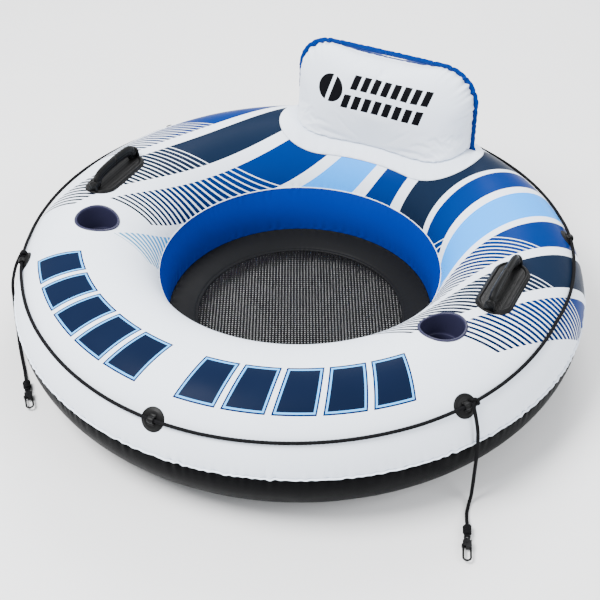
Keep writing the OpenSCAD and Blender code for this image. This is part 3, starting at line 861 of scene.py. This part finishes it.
def rest_outline(b):
    """Distance from the middle of the base to the outline, in direction b (radians)."""
    b = np.asarray(b, float)
    d = np.stack([np.abs(np.cos(b)), np.maximum(np.sin(b), 0)], -1)
    centre = np.array([REST_W / 2 - REST_CORNER, REST_H - REST_CORNER])
    m = d @ centre
    with np.errstate(divide="ignore", invalid="ignore"):
        corner = m + np.sqrt(np.maximum(m * m - centre @ centre + REST_CORNER ** 2, 0))
        side = REST_W / 2 / d[..., 0]
        top = REST_H / d[..., 1]
    low = (d[..., 0] > 0) & (d[..., 1] * REST_W / 2 <= centre[1] * d[..., 0])
    high = (d[..., 1] > 0) & (d[..., 0] * REST_H <= centre[0] * d[..., 1])
    return np.where(low, side, np.where(high, top, corner))


REST_FRONT, REST_BACK, REST_FULL, REST_GAP = 0.081, 0.072, 2.4, 0.001
SEAM_HALF, BASE_FULL, BASE_SWELL, BASE_CURVE = 0.002, 1.2, 0.065, 0.255
FRONT_CLEAR, BACK_BEVEL = math.tan(math.radians(3)), math.tan(math.radians(11))
PINNED_BELOW = 0.010                         # the pillow is welded down this close over the ring


def rest_foot(x, d, side):
    """Height of the pillow's lower edge at depth d; it lies close over the ring's skin in front."""
    if side > 0:
        return d * BACK_BEVEL
    return ring_top_z(x, REST_Y - SEAM_HALF - d) + 0.002 + d * FRONT_CLEAR - REST_Z


def rest_shell(b, s, depth, side, inset):
    high = s * np.sin(b)
    r = (rest_outline(b) - inset) * s
    full = REST_FULL + BASE_FULL * (1 - np.sin(b)) ** 2
    swell = BASE_SWELL + (r * np.cos(b) / BASE_CURVE) ** 2 if side < 0 else 0
    deep = depth * (1 + swell * (1 - high) ** 2) - inset
    d = deep * np.sqrt(np.maximum(0, 1 - s ** full))
    x = r * np.cos(b)
    z = REST_GAP + r * np.sin(b) + rest_foot(x, d, side) * (1 - high) ** (1 if side > 0 else 2)
    return np.stack([x, side * (SEAM_HALF + d), z], -1)


def rest_base(front, back, steps=25):
    """Rows from the front's lower edge to the back's, close over the ring's skin."""
    t = np.linspace(0, 1, steps)[:, None, None]
    p = front[None] * (1 - t) + back[None] * t
    w = rest_to_world(p)
    over = ring_top_z(w[..., 0], w[..., 1]) + 0.004
    close = np.minimum(np.maximum(w[..., 2], over), over + 0.02)
    w[1:-1, :, 2] = close[1:-1]
    return world_to_rest(w)


def rest_pillow(inset):
    """The closed pillow before it is blown up, as one mesh in the scene's place."""
    b = np.radians(np.linspace(0, 180, 91))
    s = np.sin(np.radians(np.linspace(0, 90, 32)[1:]))
    bb, ss = np.meshgrid(b, s, indexing="ij")
    front = rest_shell(bb, ss, REST_FRONT, -1, inset)
    back = rest_shell(bb, ss, REST_BACK, 1, inset)
    front[:, -1, 1], back[:, -1, 1] = 0, 0
    rows, cols = front.shape[:2]
    n = rows * cols
    tips = [rest_shell(np.array(0.0), np.array(0.0), depth, side, inset)
            for depth, side in ((REST_FRONT, -1), (REST_BACK, 1))]
    faces = grid_faces(rows, cols, flip=True) + grid_faces(rows, cols, start=n)
    for k in range(rows - 1):
        faces += [[2 * n, k * cols, (k + 1) * cols], [2 * n + 1, n + (k + 1) * cols, n + k * cols]]
    # the base runs along x from one end of the seam to the other
    lower = [np.concatenate([side[0, ::-1], [tip], side[-1]])
             for side, tip in zip((front, back), tips)]
    base = rest_base(*lower)
    start = 2 * n + 2
    faces += grid_faces(*base.shape[:2], start=start)
    points = np.concatenate([front.reshape(-1, 3), back.reshape(-1, 3), tips, base.reshape(-1, 3)])
    obj = make_object("rest_pillow", rest_to_world(points), faces)
    mesh = bmesh.new()
    mesh.from_mesh(obj.data)
    bmesh.ops.remove_doubles(mesh, verts=mesh.verts, dist=1e-5)
    bmesh.ops.recalc_face_normals(mesh, faces=mesh.faces)
    mesh.to_mesh(obj.data)
    mesh.free()
    return obj


def vectors(items, key):
    out = np.empty(len(items) * 3)
    items.foreach_get(key, out)
    return out.reshape(-1, 3)


def coordinates(mesh):
    return vectors(mesh.vertices, "co")


def normals_of(mesh):
    return vectors(mesh.vertex_normals, "vector")


def set_coordinates(mesh, p):
    mesh.vertices.foreach_set("co", np.asarray(p, float).ravel())
    mesh.update()


def bake(obj):
    """Turns an object's modifiers into its mesh."""
    depsgraph = bpy.context.evaluated_depsgraph_get()
    mesh = bpy.data.meshes.new_from_object(obj.evaluated_get(depsgraph))
    obj.modifiers.clear()
    old, obj.data = obj.data, mesh
    bpy.data.meshes.remove(old)


def inflate(obj, voxel, cap, pressure=4.0, frames=20):
    """Blows up a closed mesh as cloth; no point ends further than cap from its start."""
    remesh = obj.modifiers.new("remesh", "REMESH")
    remesh.mode, remesh.voxel_size = "VOXEL", voxel
    smooth = obj.modifiers.new("smooth", "SMOOTH")
    smooth.factor, smooth.iterations = 0.5, 5
    bake(obj)
    start = coordinates(obj.data)
    over = start[:, 2] - ring_top_z(start[:, 0], start[:, 1])
    pins = obj.vertex_groups.new(name="pins")
    for k in np.nonzero(over < PINNED_BELOW)[0]:
        pins.add([int(k)], 1.0, "REPLACE")
    cloth = obj.modifiers.new("cloth", "CLOTH")
    s = cloth.settings
    s.quality, s.mass = 5, 0.3
    s.tension_stiffness = s.compression_stiffness = 30
    s.shear_stiffness, s.bending_stiffness = 15, 1.0
    s.vertex_group_mass = "pins"
    s.use_pressure, s.uniform_pressure_force = True, pressure
    s.effector_weights.gravity = 0
    cloth.collision_settings.use_collision = False
    cloth.point_cache.frame_start, cloth.point_cache.frame_end = 1, frames
    for f in range(1, frames + 1):
        bpy.context.scene.frame_set(f)
    depsgraph = bpy.context.evaluated_depsgraph_get()
    swollen = bpy.data.meshes.new_from_object(obj.evaluated_get(depsgraph))
    moved = coordinates(swollen)
    bpy.data.meshes.remove(swollen)
    obj.modifiers.clear()
    obj.vertex_groups.clear()
    bpy.context.scene.frame_set(1)
    step = moved - start
    far = np.linalg.norm(step, axis=1, keepdims=True)
    set_coordinates(obj.data, start + step * np.minimum(1, cap / np.maximum(far, 1e-9)))
    obj.modifiers.new("subdivide", "SUBSURF").levels = 1
    bake(obj)


def outline_arc(p):
    """Each point's distance along the outline, the outline's radius there and the point's own."""
    b = np.linspace(0, math.pi, 721)
    r = rest_outline(b)
    line = np.stack([r * np.cos(b), r * np.sin(b)], -1)
    arc = distance_along(line)
    angle = np.clip(np.arctan2(p[:, 2], p[:, 0]), 0, math.pi)
    return np.interp(angle, b, arc), np.interp(angle, b, r), np.hypot(p[:, 0], p[:, 2])


def arc_waves(arc, lengths, seed):
    rng = np.random.default_rng(seed)
    out = 0 * arc
    for length in lengths:
        low = 1 + 0.6 * np.sin(arc * TAU / (length * rng.uniform(3, 6)) + rng.uniform(0, TAU))
        out = out + low * np.sin(arc * TAU / length + rng.uniform(0, TAU))
    return out / math.sqrt(len(lengths))


# (distance along the outline, size) of each gather in the seam
NOTCHES = ((0.072, 0.6), (0.112, 0.8), (0.161, 1.0), (0.204, 1.0), (0.247, 0.9), (0.296, 0.5),
           (0.421, 0.35), (0.548, 0.5), (0.583, 0.8), (0.629, 1.0), (0.671, 1.0), (0.716, 0.9),
           (0.768, 0.6))


def notches(arc, width):
    """Where the sheets gather along the seam: 1 or less at each gather, 0 between them."""
    return sum(size * np.exp(-((arc - at) / width) ** 2) for at, size in NOTCHES)


def rest_scallop(arc):
    """How far the backrest's seam line strays to the front or back along its outline."""
    return 0.0003 * arc_waves(arc, (0.041, 0.067), 41) - 0.0042 * notches(arc, 0.0030)


def mark_seam(obj):
    """Cuts edges along the seam and gives each face the number of its side."""
    mesh = bmesh.new()
    mesh.from_mesh(obj.data)
    middle = Vector(rest_to_world([0, 0, 0.1]))
    geom = mesh.verts[:] + mesh.edges[:] + mesh.faces[:]
    bmesh.ops.bisect_plane(mesh, geom=geom, plane_co=middle, plane_no=(0, 1, 0))
    layer = mesh.faces.layers.int.new("side")
    for face in mesh.faces:
        face[layer] = 1 if face.calc_center_median().y > middle.y else -1
    mesh.to_mesh(obj.data)
    mesh.free()


def pucker(obj):
    """Short creases across the rim seam, where the flat sheets gather."""
    p = coordinates(obj.data)
    n = normals_of(obj.data)
    q = world_to_rest(p)
    arc, edge, r = outline_arc(q)
    near = np.hypot(q[:, 1], np.maximum(edge + 0.004 - r, 0))
    high = np.clip(q[:, 2] / 0.03, 0, 1)
    corners = 0.35 + np.exp(-((arc - 0.185) / 0.085) ** 2) + np.exp(-((arc - 0.650) / 0.085) ** 2)
    fold = arc_waves(arc, (0.0165, 0.023, 0.031), 43)
    push = 0.0022 * fold * corners * np.exp(-(near / 0.027) ** 1.4)
    push = push * (1 - np.exp(-(near / 0.005) ** 2))
    push -= 0.0028 * notches(arc, 0.0042) * np.exp(-near / 0.020)
    push -= 0.0034 * np.exp(-(near / 0.008) ** 1.2)
    p = p + n * (push * high)[:, None]
    p[:, 1] += rest_scallop(arc) * np.exp(-near / 0.008)
    set_coordinates(obj.data, p)


def half_of(obj, name, side):
    """One side of the pillow, which mark_seam has cut: -1 is the front and 1 the back."""
    mesh = bmesh.new()
    mesh.from_mesh(obj.data)
    layer = mesh.faces.layers.int["side"]
    other = [face for face in mesh.faces if face[layer] != side]
    bmesh.ops.delete(mesh, geom=other, context="FACES")
    data = bpy.data.meshes.new(name)
    mesh.to_mesh(data)
    mesh.free()
    data.polygons.foreach_set("use_smooth", [True] * len(data.polygons))
    return new_object(name, data)


def rest_flange():
    """The narrow welded edge that stands out all along the backrest's seam."""
    b = np.linspace(0, math.pi, 900)
    q = np.stack([rest_outline(b) * np.cos(b), 0 * b, rest_outline(b) * np.sin(b)], -1)
    arc, _, _ = outline_arc(q)
    down = np.array([0, 0, 0.008])            # at both ends the weld runs on, down to the ring
    q = np.concatenate([[q[0] - down], q, [q[-1] - down]])
    arc = np.concatenate([[arc[0] - down[2]], arc, [arc[-1] + down[2]]])
    tab = 1 + 1.3 * np.exp(-(np.minimum(arc - arc[0], arc[-1] - arc) / 0.012) ** 2)
    out = q / np.maximum(np.linalg.norm(q, axis=1, keepdims=True), 1e-9)
    wave = rest_scallop(arc)
    ripple = 0.0005 * arc_waves(arc, (0.017, 0.026), 47)
    shape = [(-0.010, -0.0009), (0.0034, -0.0007), (0.0046, 0), (0.0034, 0.0007),
             (-0.010, 0.0009)]
    rows = []
    for u, v in shape:
        beyond = u * (tab if u > 0 else 1) + ripple * (u > 0)
        row = q + out * beyond[:, None]
        row[:, 1] = wave + v
        row[:, 2] = row[:, 2] + REST_GAP
        rows.append(rest_to_world(row))
    return grid_object("rest_seam", np.array(rows), wrap_rows=True)


def emblem_vinyl():
    """White vinyl with a plain round mark and two rows of slanted bars."""
    g = vinyl("vinyl_rest_front", WHITE, 0.36)
    x, z = g.sheet_xy()
    mask = None
    for z0, left, count, pitch in ((0.1475, -0.0640, 8, 0.0274), (0.0975, -0.0850, 8, 0.0281)):
        slanted = (x - (z - z0) * 0.27 - left) * (1 / pitch)
        bar = (slanted.op("FRACT") < 0.68) * (slanted > 0.0) * (slanted < float(count))
        bar = bar * ((z - z0).op("ABSOLUTE") < 0.0178)
        mask = bar if mask is None else mask.op("MAXIMUM", bar)
    dx, dz = x + 0.1215, z - 0.1215
    disc = (dx * dx + dz * dz) < 0.0345 ** 2
    gap = ((dx - dz * 0.27).op("ABSOLUTE") < 0.0050)
    mask = mask.op("MAXIMUM", disc * (1.0 - gap))
    g.colour(g.mix(mask, paper(g), (0.003, 0.003, 0.004)))
    return g


def build_backrest():
    pillow = rest_pillow(0.006)
    inflate(pillow, 0.0045, 0.010)
    mark_seam(pillow)
    pucker(pillow)
    front, back = half_of(pillow, "rest_front", -1), half_of(pillow, "rest_back", 1)
    bpy.data.objects.remove(pillow)
    sheet_uv(front, world_to_rest(coordinates(front.data))[:, [0, 2]])
    dress(front, emblem_vinyl(), None, ["backrest_front_skin"])
    dress(back, BLUE_VINYL, None, ["backrest_back_skin"])
    seam = dress(rest_flange(), BLUE_VINYL, None, ["backrest_seam"])
    for piece in (front, back, seam):
        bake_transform(piece)


# ---------------------------------------------------------------- ropes
# (angle round the ring, section angle) of the grab rope; every second stop is a patch
GRAB_STOPS = [(-180, 36), (-147.5, 34), (-120, 34), (-90, 32), (-61, 34), (-32, 36), (-2, 43),
              (28, 39), (59, 36), (90, 33), (120, 34), (150, 33), (180, 36)]
PATCH_STOPS = GRAB_STOPS[1:12:2]
ROPE_LIFT = 0.007                            # height of the grab rope's middle over the skin


def grab_angle(phi):
    return np.interp((np.asarray(phi) + 180) % 360 - 180, *zip(*GRAB_STOPS))


def braid_part(path, radius, closed=False, sides=16, pitch=0.0085, strands=4):
    """A braided rope: its strands cross as low ridges that wind both ways."""
    th = np.arange(sides) * TAU / sides
    turn = TAU * distance_along(path)[:, None] / pitch
    ridge = np.maximum(np.cos(strands * th + turn), np.cos(strands * th - turn))
    return tube_part(path, radius * (0.94 + 0.06 * ridge), sides, closed)


def build_grab_rope():
    phi = np.linspace(-180, 180, 721)[:-1]
    coarse = ring_point(phi, grab_angle(phi), ROPE_LIFT)
    path = even(np.concatenate([coarse, coarse[:1]]), 0.0014)[:-1]
    # between the patches the rope's own weight lets it down a little onto the skin
    angle = np.degrees(np.arctan2(path[:, 1], path[:, 0]))
    nearest = np.min([np.abs((angle - s[0] + 180) % 360 - 180) for s in PATCH_STOPS], axis=0)
    slack = np.clip((nearest - 3) / 6, 0, 1)
    lower = ring_point(angle, grab_angle(angle) - 0.5 * slack, ROPE_LIFT - 0.0022 * slack)
    obj = join_parts("grab_rope_braid", [braid_part(lower, ROPE_D / 2, closed=True)])
    dress(obj, ROPE_BLACK, replaces=["grab_rope"])


# (radius, lift) of a round rope patch, and (outwards, upwards) of the two feet of its rope loop
PATCH_PROFILE = [(0.0262, -0.0008), (0.0262, 0.0008), (0.0255, 0.0017), (0.0240, 0.0021),
                 (0.0205, 0.0022), (0.0196, 0.0030), (0.0180, 0.0033), (0.0120, 0.0031),
                 (0.0050, 0.0030)]
LOOP_FOOT = [(0.0125, 0.0030), (0.0098, 0.0034), (0.0072, 0.0046)]
LOOP_R = 0.0064


def build_patches():
    discs, loops = [], []
    for phi, a in PATCH_STOPS:
        rho = float(sheet_rho(a))
        discs.append(disc_part(phi, rho, PATCH_PROFILE))
        o, out, round_, up = skin_frame(phi, a)
        t = np.radians(np.linspace(0, 180, 25))
        arch = [(-x, z) for x, z in LOOP_FOOT]
        arch += [(-LOOP_R * math.cos(k), ROPE_LIFT + LOOP_R * math.sin(k)) for k in t]
        arch += LOOP_FOOT[::-1]
        path = np.array([o + out * x + up * z for x, z in arch])
        loops.append(tube_part(path, 0.0014, 20, up=round_, deep=5.0))
    discs = join_parts("rope_patch_discs", discs)
    loops = join_parts("rope_patch_loops", loops)
    dress(discs, RUBBER_BLACK, replaces=["rope_patches"])
    dress(loops, RUBBER_BLACK, replaces=["rope_loops"])


# each tow rope's middle line in millimetres, from the grab rope down to its clip
ROUTES = {
    "right": [(558, -336, 253), (564, -341, 243), (573, -348, 222), (581, -354, 196),
              (585, -358, 162), (586, -359, 120), (586, -359, 80), (586, -360, 40),
              (586, -362, 18), (586, -370, 7), (588, -382, 4), (591, -397, 4), (597, -414, 6),
              (603, -429, 10), (605, -434, 10.6)],
    "left": [(-561, -337, 247), (-566, -341, 236), (-573.5, -347.5, 215), (-580, -352.5, 190),
             (-585, -357, 160), (-583.5, -363, 120), (-581.5, -369, 80), (-580, -373, 40),
             (-579, -376, 18), (-574, -382.5, 7), (-566, -391, 4), (-549, -409, 4),
             (-528, -430.5, 4), (-507, -451.5, 4), (-486.5, -473.5, 6), (-475, -486, 10),
             (-470.6, -490.6, 10.6)]}
CLIP_Z = 0.0106
CLIP_PARTS = ("eye", "hook", "gate")
# the place of each clip's swivel on the ground plan and the way its hook points, in degrees
CLIPS = {"left": ((-0.460, -0.502), -47), "right": ((0.610, -0.447), -69)}


def clip_point(side, x, y=0.0, z=0.0):
    (cx, cy), turn = CLIPS[side]
    c, s = math.cos(math.radians(turn)), math.sin(math.radians(turn))
    return np.array([cx + c * x - s * y, cy + s * x + c * y, CLIP_Z + z])


def coil(centre, axis, radius, length, turns, steps=40):
    """Points of a coil about a line; both ends tuck in to it."""
    axis = np.asarray(axis, float) / np.linalg.norm(axis)
    u = np.cross(axis, [0, 0, 1.0] if abs(axis[2]) < 0.9 else [1.0, 0, 0])
    u /= np.linalg.norm(u)
    v = np.cross(axis, u)
    t = np.linspace(0, 1, int(turns * steps))
    r = radius * np.minimum(1, 0.35 + 6 * np.minimum(t, 1 - t))
    th = t * turns * TAU
    return (np.asarray(centre) + np.outer((t - 0.5) * length, axis)
            + (r * np.cos(th))[:, None] * u + (r * np.sin(th))[:, None] * v)


def build_tow_rope(side):
    route = ROUTES[side]
    path = even(spline(np.array(route) / 1000, 12), 0.0013)
    rope = join_parts(f"tow_rope_{side}_braid", [braid_part(path, ROPE_D / 2)])
    dress(rope, ROPE_BLACK, replaces=[f"tow_rope_{side}"])
    # the hitch that ties it to the grab rope, beside the patch
    phi = math.degrees(math.atan2(route[0][1], route[0][0]))
    way = 1 if side == "right" else -1
    a = float(grab_angle(phi))
    at = ring_point(phi + way * 0.75, a, ROPE_LIFT - 0.001)
    along = ring_point(phi + 2, a) - ring_point(phi - 2, a)
    wraps = even(coil(at, along, 0.0062, 0.018, 2.6), 0.0013)
    over = [(-0.004 * way, -0.006, 0.008), (0.001, -0.001, 0.0105), (0.006 * way, 0.004, 0.004),
            (0.008 * way, 0.006, -0.006)]
    over = even(spline([at + np.array(step) for step in over], 10), 0.0013)
    hitch = join_parts(f"tow_hitch_{side}", [braid_part(wraps, 0.0034), braid_part(over, 0.0036)])
    dress(hitch, ROPE_BLACK)
    # the knot at the clip: turns of rope round the line, and the eye through the swivel
    axis = clip_point(side, 1) - clip_point(side, 0)
    knot = even(coil(clip_point(side, -0.001), axis, 0.0058, 0.024, 4.2), 0.0012)
    eye = [clip_point(side, 0.011, 0.004), clip_point(side, 0.015, 0.0038, 0.0030),
           clip_point(side, 0.0182, 0.0, 0.0048), clip_point(side, 0.0150, -0.0038, 0.0030),
           clip_point(side, 0.011, -0.004)]
    parts = [braid_part(knot, 0.0036), braid_part(even(spline(eye, 8), 0.0011), 0.0024, sides=12)]
    core = [clip_point(side, x) for x in np.linspace(-0.014, 0.012, 12)]
    parts.append(tube_part(core, 0.0045, 12))
    knot = join_parts(f"tow_knot_{side}_wraps", parts)
    dress(knot, ROPE_BLACK, replaces=[f"tow_knot_{side}"])


def repaint(material, *nodes):
    """Gives CAD pieces that keep their shape a better material."""
    for node in nodes:
        obj = bpy.data.objects[node]
        if not obj.material_slots:
            obj.data.materials.append(material.mat)
        for slot in obj.material_slots:
            slot.material = material.mat


# ---------------------------------------------------------------- handles
PAD_HALF_W, PAD_STRAIGHT, HANDLE_Y = 0.0415, 0.0560, -0.018
HANDLE_X = CREST_R + 0.004
PIN_Z = CREST_Z + 0.016
EAR_Y, EAR_R = 0.090, 0.0108


def stadium(inset, count=220):
    """Points round a pad's outline moved in by inset, evenly placed along the outer outline."""
    w = PAD_HALF_W - inset
    arc = math.pi * PAD_HALF_W
    total = 2 * arc + 4 * PAD_STRAIGHT
    out = []
    for t in np.arange(count) * total / count:
        if t < arc:
            a = t / PAD_HALF_W
            out.append((w * math.cos(a), PAD_STRAIGHT + w * math.sin(a)))
        elif t < arc + 2 * PAD_STRAIGHT:
            out.append((-w, PAD_STRAIGHT - (t - arc)))
        elif t < 2 * arc + 2 * PAD_STRAIGHT:
            a = math.pi + (t - arc - 2 * PAD_STRAIGHT) / PAD_HALF_W
            out.append((w * math.cos(a), -PAD_STRAIGHT + w * math.sin(a)))
        else:
            out.append((w, -PAD_STRAIGHT + t - 2 * arc - 2 * PAD_STRAIGHT))
    return np.array(out)


def pad_part(side):
    """The handle's pad on the skin: a thin edge, a rounded rim and a panel with lengthwise ribs."""
    # (inset from the outline, lift over the skin); the panel's lift comes from its ribs
    edge = [(0, -0.0005), (0, 0.0009), (0.0006, 0.0015), (0.0022, 0.0017), (0.0030, 0.0024),
            (0.0038, 0.0042), (0.0052, 0.0055), (0.0070, 0.0060), (0.0088, 0.0056),
            (0.0102, 0.0044), (0.0110, 0.0032)]
    panel = [(0.0110 + 0.0009 * k, None) for k in range(1, 34)]
    rows = []
    for inset, lift in edge + panel:
        q = stadium(min(inset, PAD_HALF_W - 0.0002))
        x, y = HANDLE_X * side + q[:, 0], HANDLE_Y + q[:, 1]
        if lift is None:
            ribs = np.maximum(0, np.cos(q[:, 0] * TAU / 0.0072)) ** 2
            lift = 0.0026 + 0.0003 * ribs * min(1, (inset - 0.0115) / 0.002)
        rows.append(np.stack([x, y, ring_top_z(x, y) + lift], -1))
    return ring_part(rows)


def ear_part(side, end):
    """A rounded upright that holds one end of the grip's pin."""
    t = np.radians(np.linspace(0, 180, 17))
    arch = [(0.0128, -0.0145), (0.0122, -0.006)]
    arch += [(EAR_R * math.cos(k), EAR_R * math.sin(k)) for k in t]
    arch = np.array(arch + [(-0.0122, -0.006), (-0.0128, -0.0145)])
    rows = []
    for y, shrink in ((-0.0040, 0.80), (-0.0037, 0.92), (-0.0028, 1.0), (0.0028, 1.0),
                      (0.0037, 0.92), (0.0040, 0.80)):
        q = arch * shrink
        q[:, 1] = np.where(arch[:, 1] < -0.01, arch[:, 1], q[:, 1])
        place = np.full(len(q), HANDLE_Y + end * EAR_Y + y)
        rows.append(np.stack([HANDLE_X * side + q[:, 0], place, PIN_Z + q[:, 1]], -1))
    return ring_part(rows)


GRIP_HALF_W, GRIP_HALF_T = 0.0138, 0.0070
# (along the grip, height over the ring's crest) of the grip's middle line
GRIP_HALF = [(0.0775, 0.002), (0.0765, 0.011), (0.0735, 0.0200), (0.0665, 0.0272), (0.055, 0.0308),
             (0.037, 0.0327), (0.018, 0.0336)]
GRIP_LINE = [(-y, z) for y, z in GRIP_HALF] + [(0, 0.0338)] + GRIP_HALF[::-1]


def grip_parts(side):
    """The vaulted grip with soft lengthwise ridges, its end collars and its two pins."""
    line = [(HANDLE_X * side, HANDLE_Y + y, CREST_Z + z) for y, z in GRIP_LINE]
    path = even(spline(line, 14), 0.0016)
    th = np.arange(40) * TAU / 40
    n = 2.7                                  # a superellipse, flatter than an oval
    flat = ((np.abs(np.sin(th)) / GRIP_HALF_W) ** n + (np.abs(np.cos(th)) / GRIP_HALF_T) ** n)
    flat = 1 / flat ** (1 / n)
    flat = flat * (1 + 0.045 * np.cos(8 * th))
    s = np.linspace(0, 1, len(path))
    end = np.minimum(s, 1 - s) * length_of(path)
    scale = 1 + 0.10 * np.exp(-((end - 0.022) / 0.0035) ** 2) - 0.55 * np.exp(-end / 0.0022)
    arch = tube_part(path, scale[:, None] * flat, 40, up=(0, 1, 0))
    pins = []
    for end in (-1, 1):
        y = np.array([0.070, 0.0845, 0.0848, 0.0944, 0.0953, 0.0957])
        r = np.array([0.0095, 0.0095, 0.0060, 0.0060, 0.0050, 0.0034])
        pins.append(tube_part([(HANDLE_X * side, HANDLE_Y + end * k, PIN_Z) for k in y], r, 28))
    return [arch] + pins


def build_handles():
    for name, side in (("left", -1), ("right", 1)):
        pad = [pad_part(side), ear_part(side, -1), ear_part(side, 1)]
        base = join_parts(f"handle_{name}_pad", pad)
        dress(base, RUBBER_BLACK, replaces=[f"handle_base_{name}"])
        grip = join_parts(f"handle_{name}_grip", grip_parts(side))
        dress(grip, RUBBER_BLACK, f"grip_{name}", [f"handle_grip_{name}"])


build_base_patch()
build_cup("left")
build_cup("right")
build_backrest()
build_grab_rope()
build_patches()
build_tow_rope("right")
build_tow_rope("left")
repaint(NYLON_BLACK, *(f"clip_{part}_{side}" for part in CLIP_PARTS for side in CLIPS))
build_handles()
repaint(RUBBER_BLACK, "tube_valve", "tube_valve_cap", "backrest_valve", "backrest_valve_cap")
